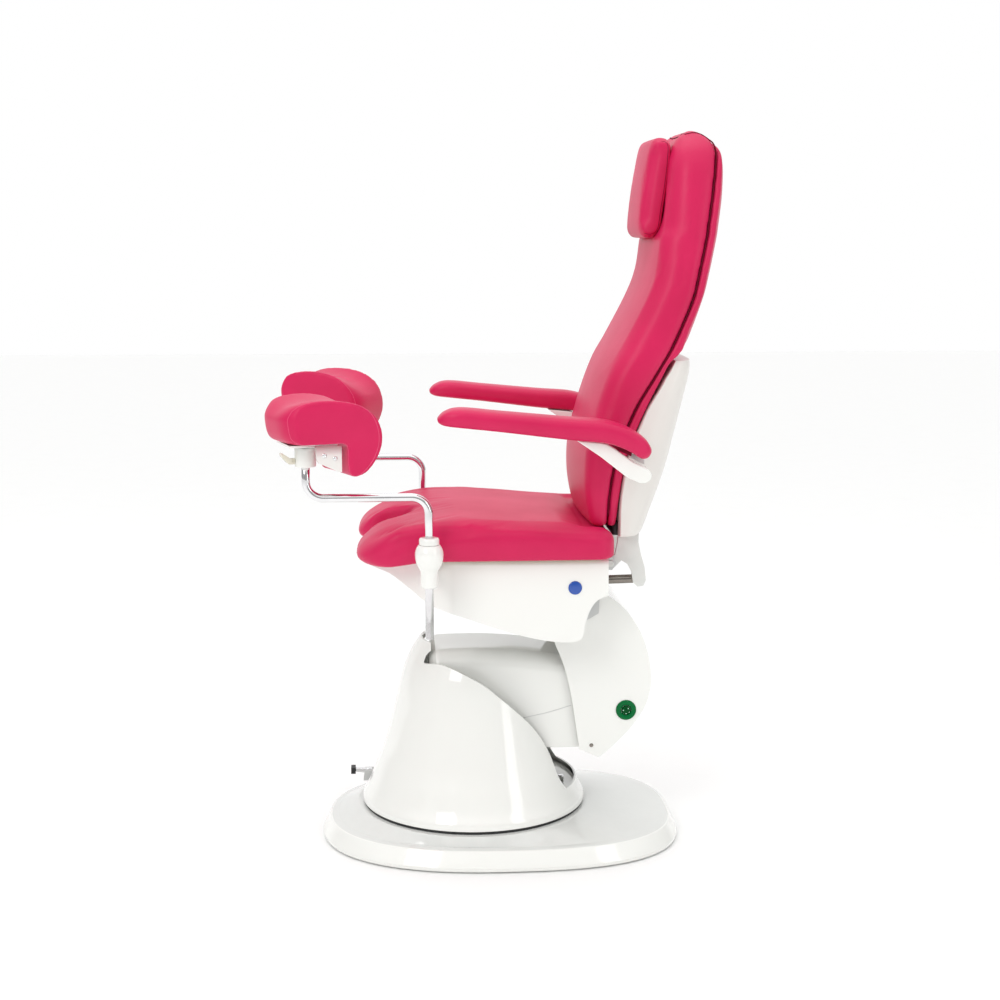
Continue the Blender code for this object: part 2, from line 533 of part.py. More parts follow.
def build_seat():
    body("seat", (TILT_X, 0, TILT_Z), "seat_carrier")
    top = SEAT_Z - 0.0095
    rings = []
    for x, half, low in SKIRT:
        rings.append(u_ring(x, half * SEAT_HALF / 0.245, top - droop(x) * 1.05, low, WALL, 0.012, 0.0, 3))
    arm_z = top - WALL - GAP
    window = box(LEG_X - 0.0095, LEG_X + 0.0095, -0.4, 0.4, arm_z - 0.0255, arm_z - 0.0065)
    link("seat_shell", cut(loft(rings), window), "white_gloss", "seat", 35)

    # board under the cushion, following the U of its front
    pts = list(dict.fromkeys((max(x, -0.150), y) for x, y in seat_outline(-0.022, 6)))
    link("seat_board", prism(pts, top + GAP, SEAT_Z - GAP, "Z"), "ply_board", "seat")

    y0, y1 = CHEEK_HALF + 0.004, CHEEK_HALF + 0.011
    zt = top - WALL - GAP
    side = [(-0.120, zt), (-0.120, zt - 0.030), (0.060, zt - 0.090), (TILT_X - 0.030, TILT_Z - 0.018),
            (TILT_X, TILT_Z - 0.026), (TILT_X + 0.024, TILT_Z - 0.012), (TILT_X + 0.028, zt - 0.060),
            (RECLINE_X - 0.016, zt - 0.030), (RECLINE_X - 0.016, zt)]
    frame = prism(side, y0, y1)
    parts = [prism(side, -y1, -y0)]
    for x in (-0.110, 0.020):
        parts.append(box(x, x + 0.020, -y1 + 0.002, y1 - 0.002, zt - 0.020, zt))
    for s in (1, -1):
        # outer lugs that carry the backrest pivot
        lug = [(0.150, zt), (0.150, zt - 0.020), (RECLINE_X - 0.010, RECLINE_Z - 0.012),
               (RECLINE_X + 0.004, RECLINE_Z - 0.013), (RECLINE_X + 0.013, RECLINE_Z),
               (RECLINE_X + 0.008, RECLINE_Z + 0.011), (RECLINE_X - 0.004, zt)]
        parts.append(prism(lug, *sorted((s * (DRIVE_Y + 0.022), s * (DRIVE_Y + 0.030)))))
        parts.append(box(0.155, 0.175, *sorted((s * (y0 + 0.002), s * (DRIVE_Y + 0.028))), zt - 0.018, zt))
        # arms out to the leg clamps
        parts.append(box(LEG_X - 0.008, LEG_X + 0.008, *sorted((s * (y0 + 0.002), s * (LEG_Y - 0.030))),
                         zt - 0.024, zt - 0.008))
    frame = fuse(frame, *parts)
    frame = cut(frame, drum(bore(0.012, 14), -0.3, 0.3, 14, (TILT_X, 0, TILT_Z), "Y"),
                drum(bore(0.007, 12), -0.3, 0.3, 12, (RECLINE_X, 0, RECLINE_Z), "Y"))
    # stub that carries the back drive tube
    frame = fuse(frame, drum(0.005, -DRIVE_Y - 0.020, -y0 - 0.004, 12, (DRIVE_X, 0, DRIVE_Z), "Y"))
    link("seat_frame", frame, "steel_painted", "seat")
    for s, tag in ((-1, "left"), (1, "right")):
        y, z = s * LEG_Y, SEAT_Z
        clamp = turned([(0.0, z - 0.046), (0.014, z - 0.046), (0.0165, z - 0.043), (0.0165, z - 0.014),
                        (0.022, z - 0.006), (0.0265, z + 0.006), (0.0275, z + 0.016), (0.0255, z + 0.028),
                        (0.0205, z + 0.037), (0.0, z + 0.037)], 18, (LEG_X, y, 0))
        clamp = fuse(clamp, box(LEG_X - 0.008, LEG_X + 0.008, *sorted((s * (LEG_Y - 0.030 + GAP), y)),
                                zt - 0.024, zt - 0.008))
        clamp = cut(clamp, drum(0.0125 + GAP, z - 0.1, z + 0.1, 18, (LEG_X, y, 0)))
        link("leg_clamp_" + tag, clamp, "white_gloss", "seat", 40)
    badge = (0.190, 0, 0.562)
    half = 0.213 * SEAT_HALF / 0.245
    link("seat_badge", drum(0.0135, -half - 0.0025, -half - GAP, 20, badge, "Y", 0.0008),
         "blue_plastic", "seat")
    link("seat_cushion", seat_cushion(), "pink_vinyl", "seat", 60)


def droop(x):
    # fall of the seat's front lobes
    return 0.030 * max(0.0, (-0.155 - x) / 0.087) ** 2


def seat_outline(grow, n=6):
    h = SEAT_HALF
    x0, x1, u, ux = -0.242, 0.264, 0.058, -0.125
    pts = []

    def arc(cx, cy, r, a0, a1, k):
        for i in range(k + 1):
            t = math.radians(lerp(a0, a1, i / k))
            pts.append((cx + r * math.cos(t), cy + r * math.sin(t)))
    arc(x1 - 0.035, -h + 0.035, 0.035, -90, 0, 4)
    arc(x1 - 0.035, h - 0.035, 0.035, 0, 90, 4)
    pts.append((0.05, h))
    arc(x0 + 0.085, h - 0.085, 0.085, 90, 180, n)
    arc(x0 + 0.040, u + 0.040, 0.040, 180, 270, 4)
    arc(ux - u, 0.0, u, 90, -90, 8)
    arc(x0 + 0.040, -u - 0.040, 0.040, 90, 180, 4)
    arc(x0 + 0.085, -h + 0.085, 0.085, 180, 270, n)
    pts.append((0.05, -h))
    return inset_poly(pts, -grow) if grow else pts


def seat_cushion():
    zb, zt = SEAT_Z, SEAT_TOP
    levels = [(-0.012, zb), (-0.002, zb + 0.010), (0.0, lerp(zb, zt, 0.45)), (-0.002, zt - 0.016),
              (-0.010, zt - 0.006), (-0.026, zt - 0.001)]
    bm = loft([[(x, y, z) for x, y in seat_outline(grow)] for grow, z in levels])
    # cut across while flat, so that the lobes can fall and the rear shelf can step down
    for x in (-0.215, -0.185, -0.155, 0.196, 0.216):
        geom = bm.verts[:] + bm.edges[:] + bm.faces[:]
        bmesh.ops.bisect_plane(bm, geom=geom, plane_co=(x, 0, 0), plane_no=(1, 0, 0))
    for v in bm.verts:
        x, z = v.co.x, v.co.z
        top = zt - 0.026
        fall = droop(x) * (1.7 if z > lerp(zb, zt, 0.5) else 1.0)
        shelf = max(0.0, z - top) * min(1.0, max(0.0, (x - 0.196) / 0.020))
        v.co.z = z - fall - shelf
    bmesh.ops.triangulate(bm, faces=[f for f in bm.faces if len(f.verts) > 4])
    bmesh.ops.remove_doubles(bm, verts=bm.verts, dist=1e-5)
    return bm


# the rod and tube stay parallel; this lean splits the linkage's small arc evenly about the bore
DRIVE_LEAN = math.atan2(EYE_Z - DRIVE_Z, EYE_X - DRIVE_X) - math.radians(0.57)


def aimed(bm, x, z):
    # leans a piece made along X from the origin as the back drive leans, and sets it at a pivot
    bmesh.ops.transform(bm, verts=bm.verts, matrix=Matrix.Translation((x, 0, z))
                        @ Matrix.Rotation(-DRIVE_LEAN, 4, "Y"))
    return bm


def build_back_drive():
    y = -DRIVE_Y
    body("back_tube", (DRIVE_X, 0, DRIVE_Z), "seat")
    tube = turned([(0.0, 0.004), (0.016, 0.004), (0.016, 0.200), (0.0115, 0.200), (0.0115, 0.024),
                   (0.0, 0.024)],
                  14, (0, y, 0), "X")
    tube = fuse(tube, drum(0.009, y - 0.012, y + 0.012, 12, (0, 0, 0), "Y"))
    tube = cut(tube, drum(0.005 + GAP, y - 0.05, y + 0.05, 12, (0, 0, 0), "Y"))
    link("back_tube", aimed(tube, DRIVE_X, DRIVE_Z), "steel_painted", "back_tube")


def build_back():
    body("backrest", (RECLINE_X, 0, RECLINE_Z), "seat")
    px, pz = RECLINE_X, RECLINE_Z
    side = [(px - 0.013, pz + 0.003), (px - 0.006, pz - 0.013), (px + 0.008, pz - 0.012),
            (px + 0.024, pz + 0.004),
            (px + 0.036, pz - 0.003), (px + 0.045, pz - 0.020), (EYE_X - 0.013, EYE_Z - 0.004),
            (EYE_X - 0.004, EYE_Z - 0.013), (EYE_X + 0.008, EYE_Z - 0.011), (EYE_X + 0.013, EYE_Z),
            (0.336, 0.590), (0.328, 0.617), (0.323, 0.640), (0.3240, 0.700), (0.336, 0.800),
            (0.353, 0.880),
            (0.366, 0.930), (0.3500, 0.930), (0.3290, 0.880), (0.2985, 0.800), (0.2868, 0.720),
            (0.2835, 0.664), (0.2800, 0.634), (0.276, 0.616)]
    y0, y1, y2 = DRIVE_Y + 0.010, DRIVE_Y + PLATE_OUT, DRIVE_Y + 0.034
    mid = (y0 + y1) / 2
    frame = prism(side, y0, y1)
    frame = fuse(frame, prism(side, -y1, -y0), box(0.3055, 0.3165, -mid, mid, 0.676, 0.696))
    frame = fuse(frame, drum(0.007, mid, y2, 12, (px, 0, pz), "Y", 0.001),
                 drum(0.007, -y2, -mid, 12, (px, 0, pz), "Y", 0.001),
                 drum(0.005, -mid, -DRIVE_Y + 0.008, 12, (EYE_X, 0, EYE_Z), "Y", 0.001))
    frame = cut(frame, drum(0.0075, -0.4, 0.4, 12, (ARMREST_X, 0, ARMREST_Z), "Y"))
    link("back_frame", frame, "bracket_grey", "backrest")

    body("back_rod", (EYE_X, 0, EYE_Z), "backrest")
    y = -DRIVE_Y
    length = math.hypot(EYE_X - DRIVE_X, EYE_Z - DRIVE_Z)
    rod = drum(0.0070, 0.110 - length, -0.004, 12, (0, y, 0), "X")
    rod = fuse(rod, drum(0.0105, -0.0055, 0.0055, 12, (0, y, 0), "Y"))
    rod = cut(rod, drum(0.005 + GAP, -0.3, 0.3, 12, (0, y, 0), "Y"))
    link("back_rod", aimed(rod, EYE_X, EYE_Z), "chrome", "back_rod")


# backrest stations: height, front crease, piping seam, rear of the upholstery, half width
SPINE = [(0.690, 0.2245, 0.2575, 0.2785, 0.930), (0.700, 0.2195, 0.2580, 0.2790, 0.970),
         (0.752, 0.2120, 0.2615, 0.2825, 1.000), (0.827, 0.2150, 0.2765, 0.2975, 1.000),
         (0.910, 0.2365, 0.3100, 0.3310, 1.000), (0.970, 0.2575, 0.3390, 0.3600, 1.000),
         (1.006, 0.2755, 0.3585, 0.3795, 0.995), (1.038, 0.2940, 0.3750, 0.4360, 0.985),
         (1.120, 0.3360, 0.4100, 0.4650, 0.955), (1.173, 0.3550, 0.4250, 0.4780, 0.925),
         (1.240, 0.3660, 0.4385, 0.4895, 0.885), (1.262, 0.3840, 0.4410, 0.4920, 0.870),
         (1.320, 0.3870, 0.4475, 0.4980, 0.835), (1.374, 0.3900, 0.4525, 0.5010, 0.780),
         (1.408, 0.3925, 0.4540, 0.4990, 0.700), (1.434, 0.3970, 0.4550, 0.4920, 0.580),
         (1.452, 0.4100, 0.4550, 0.4820, 0.430)]


def back_ring(z, front, rear, w, crown_f, crown_r, soft):
    # section of a padded back at one height: a soft-edged slab with a crowned front and rear
    d = rear - front
    s = min(soft, d * 0.60)
    half = [(front - crown_f, 0.0), (front - crown_f * 0.75, w * 0.5), (front, w - s),
            (front + s * 0.30, w - s * 0.28),
            (front + d * 0.5, w), (rear, w - 0.004), (rear + crown_r * 0.75, w * 0.5),
            (rear + crown_r, 0.0)]
    ring = [(x, y, z) for x, y in half]
    ring += [(x, -y, z) for x, y in half[-2:0:-1]]
    return ring


def build_back_soft():
    rings, panel = [], []
    for z, front, seam, rear, k in SPINE:
        w = BACK_HALF * k
        crown = 0.009 * k if z < 1.25 else 0.0
        rings.append(back_ring(z, front, seam - GAP, w, crown, 0.0, 0.045))
        edge = min(seam + 0.021, rear) if z < 1.02 else seam + 0.030
        crown = 0.0 if z < 1.02 else rear - edge
        panel.append(back_ring(z, seam + GAP, edge, w, 0.0, crown, 0.006))
    link("back_cushion", loft(rings), "pink_vinyl", "backrest", 60)
    link("back_panel", loft(panel), "pink_vinyl", "backrest", 50)

    outer, inner = [], []
    for z, rear, k in ((0.640, 0.350, 0.965), (0.648, 0.356, 0.980), (0.675, 0.364, 0.985),
                       (0.759, 0.386, 0.985),
                       (0.855, 0.409, 0.980), (0.940, 0.424, 0.965), (0.985, 0.430, 0.930),
                       (1.004, 0.429, 0.890)):
        seam = table([(q[0], q[2]) for q in SPINE], z)[0]
        front, w = seam + 0.021 + 2 * GAP, BACK_HALF * k
        if z < 0.68:
            front = 0.2790 + 2 * GAP
        outer.append(shell_ring(z, front, rear, w))
        inner.append(shell_ring(z, front - 0.030, rear - WALL, w - WALL))
    inner[0] = [(x, y, 0.600) for x, y, z in inner[0]]
    inner[-1] = [(x, y, z - 0.008) for x, y, z in inner[-1]]
    bores = drum(0.010 + GAP, -0.4, 0.4, 12, (ARMREST_X, 0, ARMREST_Z), "Y")
    link("back_shell", cut(loft(outer), loft(inner), bores), "white_back", "backrest", 40)


def shell_ring(z, front, rear, w):
    d = rear - front
    half = [(front, 0.0), (front, w * 0.6), (front, w), (front + d * 0.40, w * 0.985),
            (front + d * 0.72, w * 0.90),
            (front + d * 0.90, w * 0.72), (front + d * 0.975, w * 0.38), (rear, 0.0)]
    return [(x, y, z) for x, y in half] + [(x, -y, z) for x, y in half[-2:0:-1]]


HEAD = [(0.353, 1.431), (0.3690, 1.432), (0.3745, 1.424), (0.3665, 1.262), (0.358, 1.246), (0.344, 1.239),
        (0.328, 1.241), (0.317, 1.250), (0.314, 1.266), (0.316, 1.298), (0.329, 1.378), (0.340, 1.418)]


def build_head():
    # steel rail let into the front of the back, with the pad's plate gripping it
    rail = prism([(0.3788, 1.268), (0.3838, 1.268), (0.3913, 1.404), (0.3863, 1.404)], -0.030, 0.030)
    link("head_rail", rail, "chrome", "backrest")
    at = (0.375, 0, 1.340)
    body("headrest", at, "backrest")
    rings = []
    for y, k in ((-0.105, 0.80), (-0.097, 0.94), (-0.055, 1.0), (0.055, 1.0), (0.097, 0.94),
                 (0.105, 0.80)):
        cx, cz = 0.368, 1.336
        rings.append([(min(cx + (x - cx) * k, x), y, cz + (z - cz) * lerp(1.0, k, 0.6)) for x, z in HEAD])
    link("headrest_cushion", loft(rings), "pink_vinyl", "headrest", 60)
    plate = prism([(0.3677, 1.278), (0.3790, 1.278), (0.3857, 1.400), (0.3737, 1.400)], -0.045, 0.045)
    link("headrest_plate", plate, "steel_painted", "headrest")


REST = [(-0.082, 0.907, -0.080, 0.899, 0.40), (-0.068, 0.920, -0.066, 0.894, 0.75),
        (-0.038, 0.927, -0.030, 0.890, 0.95),
        (0.037, 0.920, 0.040, 0.8825, 1.0), (0.157, 0.909, 0.157, 0.868, 1.0),
        (0.232, 0.903, 0.229, 0.861, 1.0),
        (0.278, 0.889, 0.262, 0.852, 1.0), (0.309, 0.869, 0.285, 0.841, 0.93),
        (0.323, 0.847, 0.300, 0.831, 0.78),
        (0.319, 0.832, 0.310, 0.828, 0.45)]
TONGUE = [(0.180, 0.8652), (0.2285, 0.8605), (0.240, 0.8572), (0.255, 0.848), (0.289, 0.823),
          (0.318, 0.8095),
          (0.3255, 0.799), (0.3235, 0.789), (0.314, 0.7825), (0.302, 0.782), (0.279, 0.792),
          (0.227, 0.833)]


def build_armrest(s, tag):
    y0 = s * ARMREST_Y
    body("armrest_" + tag, (ARMREST_X, y0, ARMREST_Z), "backrest")
    rings = []
    for xt, zt, xb, zb, k in REST:
        w = 0.040 * k
        half = [(0.0, 0.0), (0.55, 0.02), (0.90, 0.16), (1.0, 0.45), (0.94, 0.82), (0.80, 0.97),
                (0.0, 1.0)]
        ring = [(lerp(xt, xb, t), y0 + w * h, lerp(zt, zb, t)) for h, t in half]
        ring += [(lerp(xt, xb, t), y0 - w * h, lerp(zt, zb, t)) for h, t in half[-2:0:-1]]
        rings.append(ring)
    link("armrest_pad_" + tag, loft(rings), "pink_vinyl", "armrest_" + tag, 60)
    ends = sorted((s * (ARMREST_Y - 0.036), s * (ARMREST_Y + 0.012)))
    tongue = prism([(x, z - GAP) for x, z in TONGUE], *ends)
    tongue = cut(tongue, drum(bore(0.010, 12), -0.5, 0.5, 12, (ARMREST_X, 0, ARMREST_Z), "Y"))
    link("armrest_tongue_" + tag, tongue, "white_gloss", "armrest_" + tag)
    ends = sorted((s * (DRIVE_Y + PLATE_OUT + GAP), s * (ARMREST_Y - 0.004)))
    link("armrest_pin_" + tag, drum(0.010, *ends, 12, (ARMREST_X, 0, ARMREST_Z), "Y", 0.001),
         "chrome", "backrest")


CRUTCH = [(-0.062, 0.905), (-0.060, 0.925), (-0.045, 0.945), (-0.010, 0.9535), (0.040, 0.953),
          (0.080, 0.943),
          (0.108, 0.922), (0.122, 0.892), (0.123, 0.862), (0.112, 0.834), (0.092, 0.811), (0.072, 0.803),
          (0.059, 0.808), (0.056, 0.830), (0.056, 0.8642), (-0.045, 0.8642), (-0.058, 0.877)]
SPLAY = math.radians(17)
ROD_Z1 = 0.757            # level part of the leg rod
TILT_PIN = 0.853          # crutch tilt pin


def splayed(bm, s):
    at = Vector((HOLD_X, s * LEG_Y, 0))
    turn = Matrix.Translation(at) @ Matrix.Rotation(-s * SPLAY, 4, "Z")
    bmesh.ops.transform(bm, verts=bm.verts, matrix=turn)
    return bm


def build_leg(s, tag):
    y = s * LEG_Y
    z = SEAT_Z + 0.0373
    body("leg_swivel_" + tag, (LEG_X, y, z), "seat")
    bush = turned([(ROD_R + GAP, z - 0.076), (0.0125, z - 0.076), (0.0125, z), (0.0195, z),
                   (0.0195, z + 0.010),
                   (0.017, z + 0.013), (ROD_R + GAP, z + 0.013)], 18, (LEG_X, y, 0))
    link("leg_collar_" + tag, bush, "white_gloss", "leg_swivel_" + tag)
    body("leg_rod_" + tag, (LEG_X, y, z), "leg_swivel_" + tag)
    path = [(LEG_X, y, 0.482), (LEG_X, y, ROD_Z1), (HOLD_X, y, ROD_Z1), (HOLD_X, y, 0.8372)]
    link("leg_rod_" + tag, bent(path, ROD_R, 0.033), "chrome", "leg_rod_" + tag)

    body("crutch_holder_" + tag, (HOLD_X, y, 0.8372), "leg_rod_" + tag)
    p = TILT_PIN
    holder = turned([(0.0, 0.8378), (ROD_R + GAP, 0.8378), (ROD_R + GAP, 0.814), (0.0185, 0.814),
                     (0.020, 0.8165),
                     (0.020, 0.842), (0.017, 0.8455), (0.0, 0.8455)], 18)
    holder = fuse(holder, box(-0.0055, 0.0055, -0.006, 0.006, 0.843, p),
                  drum(0.0058, -0.006, 0.006, 12, (0, 0, p), "Y"))
    holder = cut(holder, drum(0.0032 + GAP, -0.030, -0.010, 12, (0, 0, 0.829), "X"))
    holder = fuse(holder, drum(0.003, -0.013, 0.013, 12, (0, 0, p), "Y"))
    link("crutch_holder_" + tag, splayed(holder, s), "white_gloss", "crutch_holder_" + tag, 40)

    turn = Matrix.Rotation(-s * SPLAY, 4, "Z")
    at = Vector((HOLD_X, y, 0.829)) + turn @ Vector((-0.0205, 0, 0))
    body("wing_lever_" + tag, at, "crutch_holder_" + tag)
    wing = fuse(drum(0.0032, -0.030, -0.012, 12, (0, 0, 0.829), "X"),
                drum(0.0060, -0.032, -0.0203, 12, (0, 0, 0.829), "X"),
                box(-0.037, -0.028, -0.018, 0.018, 0.8255, 0.8325))
    link("wing_lever_" + tag, splayed(wing, s), "chrome", "wing_lever_" + tag)

    body("crutch_pad_" + tag, (HOLD_X, y, p), "crutch_holder_" + tag)
    plate = box(-0.044, 0.050, -0.045, 0.045, p + 0.0066, p + 0.0108)
    parts = []
    for q in (0.0066, -0.0106):
        parts.append(box(-0.0058, 0.0058, q, q + 0.004, p, p + 0.008))
        parts.append(drum(0.0060, q, q + 0.004, 12, (0, 0, p), "Y"))
    parts.append(box(0.034, 0.0552, s * 0.030 - 0.003, s * 0.030 + 0.003, 0.820, p + 0.008))
    for dx, dz in ((0.040, 0.845), (0.049, 0.836)):
        parts.append(drum(0.0032, *sorted((s * 0.032, s * 0.0352)), 10, (dx, 0, dz), "Y"))
    bracket = cut(fuse(plate, *parts), drum(0.003 + GAP, -0.1, 0.1, 12, (0, 0, p), "Y"))
    link("crutch_bracket_" + tag, splayed(bracket, s), "bracket_grey", "crutch_pad_" + tag)
    rings = []
    for t, k in ((-1.0, 0.90), (-0.93, 0.975), (-0.55, 1.0), (0.0, 1.0), (0.55, 1.0), (0.93, 0.975),
                 (1.0, 0.90)):
        cx, cz = 0.040, 0.900
        ring = []
        for x, zz in CRUTCH:
            dip = 0.016 * (1 - t * t) * max(0.0, min(1.0, (zz - 0.90) / 0.04))
            xx = cx + (x - cx) * k
            if abs(x - 0.056) < 0.004:
                xx = max(xx, x)
            ring.append((xx, 0.070 * t, max(cz + (zz - dip - cz) * k,
                                            zz if zz < 0.88 and x < 0.056 else 0.0)))
        rings.append(ring)
    link("crutch_pad_" + tag, splayed(loft(rings), s), "pink_vinyl", "crutch_pad_" + tag, 60)


build_base()
build_pedestal()
build_pedal()
build_arm()
build_carrier()
build_seat()
build_back_drive()
build_back()
build_back_soft()
build_head()
for sign, word in ((-1, "left"), (1, "right")):
    build_armrest(sign, word)
    build_leg(sign, word)
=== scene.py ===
import json
import math
import bmesh
import bpy
from mathutils import Matrix, Vector
from mathutils.kdtree import KDTree


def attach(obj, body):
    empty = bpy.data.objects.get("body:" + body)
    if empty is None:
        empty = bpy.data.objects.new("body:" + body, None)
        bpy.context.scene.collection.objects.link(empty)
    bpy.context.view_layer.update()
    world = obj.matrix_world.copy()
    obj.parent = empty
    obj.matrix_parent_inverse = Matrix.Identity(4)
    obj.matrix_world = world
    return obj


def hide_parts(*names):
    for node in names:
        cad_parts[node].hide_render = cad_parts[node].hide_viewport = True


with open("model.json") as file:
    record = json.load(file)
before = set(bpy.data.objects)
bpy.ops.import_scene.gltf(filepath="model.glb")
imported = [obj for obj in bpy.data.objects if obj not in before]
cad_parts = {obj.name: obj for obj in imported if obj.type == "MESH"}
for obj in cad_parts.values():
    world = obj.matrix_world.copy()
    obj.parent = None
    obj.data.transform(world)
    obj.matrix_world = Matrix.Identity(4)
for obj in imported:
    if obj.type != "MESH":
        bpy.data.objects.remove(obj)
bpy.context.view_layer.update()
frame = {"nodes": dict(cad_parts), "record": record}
scene = bpy.context.scene
nodes = frame["nodes"]
print("frame loaded,", len(nodes), "CAD nodes")

# view and studio

studio = {
    "eye": (-0.1738, -3.3922, 1.2523), "look": (0.0564, 0.0, 0.7040), "lens": 59.83,
    "floor": (0.97, 0.97, 0.965), "worldStrength": 1.0, "shade": 0.38,
}
camData = bpy.data.cameras.new("camera")
camData.lens = studio["lens"]
camData.sensor_width = 36.0
camera = bpy.data.objects.new("camera", camData)
scene.collection.objects.link(camera)
camera.location = studio["eye"]
aim = Vector(studio["look"]) - camera.location
camera.rotation_euler = aim.to_track_quat("-Z", "Y").to_euler()
scene.camera = camera


def softbox(name, place, target, size, power):
    light = bpy.data.lights.new(name, "AREA")
    light.shape = "RECTANGLE"
    light.size, light.size_y = size
    light.energy = power
    lamp = bpy.data.objects.new(name, light)
    scene.collection.objects.link(lamp)
    lamp.location = place
    lamp.rotation_euler = (Vector(target) - Vector(place)).to_track_quat("-Z", "Y").to_euler()


softbox("keyBox", (-1.9, -2.9, 2.6), (0.0, 0.0, 0.8), (1.3, 1.6), 30)
softbox("topBox", (0.1, 0.1, 3.2), (0.0, 0.0, 0.6), (2.0, 1.6), 10)
softbox("fillBox", (2.4, -2.4, 1.5), (0.1, 0.0, 0.7), (0.8, 1.8), 10)
sunData = bpy.data.lights.new("skySun", "SUN")
sunData.energy = 0.32
sunData.angle = 1.4
sun = bpy.data.objects.new("skySun", sunData)
scene.collection.objects.link(sun)
sun.rotation_euler = (math.radians(12), math.radians(-8), 0.0)

# the room is bright, but near the horizon it is darker at the sides and behind the viewer, so that
# bright metal shows an edge and the upholstery keeps its depth of colour; the backdrop itself stays white
world = bpy.data.worlds.new("studio")
scene.world = world
world.use_nodes = True
tree = world.node_tree
sky = tree.nodes["Background"]
sky.inputs["Strength"].default_value = studio["worldStrength"]
way = tree.nodes.new("ShaderNodeTexCoord")
split = tree.nodes.new("ShaderNodeSeparateXYZ")
tree.links.new(way.outputs["Generated"], split.inputs[0])


def ramped(value, low, high, start, end):
    node = tree.nodes.new("ShaderNodeMapRange")
    node.interpolation_type = "SMOOTHSTEP"
    for label, number in (("From Min", low), ("From Max", high), ("To Min", start), ("To Max", end)):
        node.inputs[label].default_value = number
    tree.links.new(value, node.inputs["Value"])
    return node.outputs[0]


def combined(operation, a, b=None):
    node = tree.nodes.new("ShaderNodeMath")
    node.operation = operation
    tree.links.new(a, node.inputs[0])
    if b is not None:
        tree.links.new(b, node.inputs[1])
    return node.outputs[0]


sides = ramped(combined("ABSOLUTE", split.outputs["X"]), 0.60, 0.94, 0.0, 1.0)
front = ramped(split.outputs["Y"], -0.25, -0.80, 0.0, 1.0)
level = ramped(combined("ABSOLUTE", split.outputs["Z"]), 0.25, 0.70, 1.0, 0.0)
dark = combined("MULTIPLY", combined("MAXIMUM", sides, front), level)
seen = tree.nodes.new("ShaderNodeLightPath").outputs["Is Camera Ray"]
tree.links.new(combined("MAXIMUM", ramped(dark, 0.0, 1.0, 1.0, studio["shade"]), seen), sky.inputs["Color"])
scene.view_settings.view_transform = "Standard"
print("camera and lights set")


# finishes


def newGroup(name, ins):
    group = bpy.data.node_groups.new(name, "ShaderNodeTree")
    for label, value in ins:
        socket = group.interface.new_socket(label, in_out="INPUT", socket_type="NodeSocketFloat")
        socket.default_value = value
    for label in ("Height", "Tone", "Gloss"):
        group.interface.new_socket(label, in_out="OUTPUT", socket_type="NodeSocketFloat")
    start = group.nodes.new("NodeGroupInput")
    end = group.nodes.new("NodeGroupOutput")
    return group, start, end


def addNode(tree, kind, **values):
    node = tree.nodes.new(kind)
    for key, value in values.items():
        setattr(node, key, value)
    return node


def mathNode(tree, operation, a, b):
    node = addNode(tree, "ShaderNodeMath", operation=operation)
    for socket, value in zip(node.inputs, (a, b)):
        if hasattr(value, "links"):
            tree.links.new(value, socket)
        else:
            socket.default_value = value
    return node.outputs[0]


def noiseNode(tree, coords, scale, detail=3.0, rough=0.5):
    node = addNode(tree, "ShaderNodeTexNoise")
    tree.links.new(coords, node.inputs["Vector"])
    if hasattr(scale, "links"):
        tree.links.new(scale, node.inputs["Scale"])
    else:
        node.inputs["Scale"].default_value = scale
    node.inputs["Detail"].default_value = detail
    node.inputs["Roughness"].default_value = rough
    return node.outputs["Fac"]


# pebbled upholstery grain: small cells broken up by noise, with a broad change of tone
grainGroup, gIn, gOut = newGroup("vinylGrain", [("Cell", 900.0), ("Cloud", 7.0)])
coords = addNode(grainGroup, "ShaderNodeTexCoord").outputs["Object"]
cells = addNode(grainGroup, "ShaderNodeTexVoronoi", feature="DISTANCE_TO_EDGE")
warp = noiseNode(grainGroup, coords, 210.0, 2.0)
grainGroup.links.new(coords, cells.inputs["Vector"])
grainGroup.links.new(gIn.outputs["Cell"], cells.inputs["Scale"])
fine = noiseNode(grainGroup, coords, 1500.0, 2.0)
ridge = mathNode(grainGroup, "SMOOTH_MIN", cells.outputs["Distance"], 0.30)
height = mathNode(grainGroup, "ADD", mathNode(grainGroup, "MULTIPLY", ridge, 2.0),
                  mathNode(grainGroup, "MULTIPLY", mathNode(grainGroup, "ADD", fine, warp), 0.35))
cloud = noiseNode(grainGroup, coords, gIn.outputs["Cloud"], 3.0, 0.55)
grainGroup.links.new(height, gOut.inputs["Height"])
grainGroup.links.new(cloud, gOut.inputs["Tone"])
grainGroup.links.new(mathNode(grainGroup, "ADD", mathNode(grainGroup, "MULTIPLY", cloud, 0.6),
                              mathNode(grainGroup, "MULTIPLY", ridge, 0.8)), gOut.inputs["Gloss"])

# moulded or sprayed skin: faint orange peel, slow waves and a little speckled darkening near the floor
skinGroup, sIn, sOut = newGroup("mouldedSkin", [("Peel", 420.0), ("Wave", 9.0), ("FloorSpecks", 0.0)])
coords = addNode(skinGroup, "ShaderNodeTexCoord").outputs["Object"]
peel = noiseNode(skinGroup, coords, sIn.outputs["Peel"], 1.5, 0.4)
wave = noiseNode(skinGroup, coords, sIn.outputs["Wave"], 2.0, 0.5)
split = addNode(skinGroup, "ShaderNodeSeparateXYZ")
skinGroup.links.new(coords, split.inputs[0])
low = addNode(skinGroup, "ShaderNodeMapRange", interpolation_type="SMOOTHSTEP")
skinGroup.links.new(split.outputs["Z"], low.inputs["Value"])
for label, value in (("From Min", 0.13), ("From Max", 0.0), ("To Min", 0.0), ("To Max", 1.0)):
    low.inputs[label].default_value = value
specks = noiseNode(skinGroup, coords, 60.0, 5.0, 0.65)
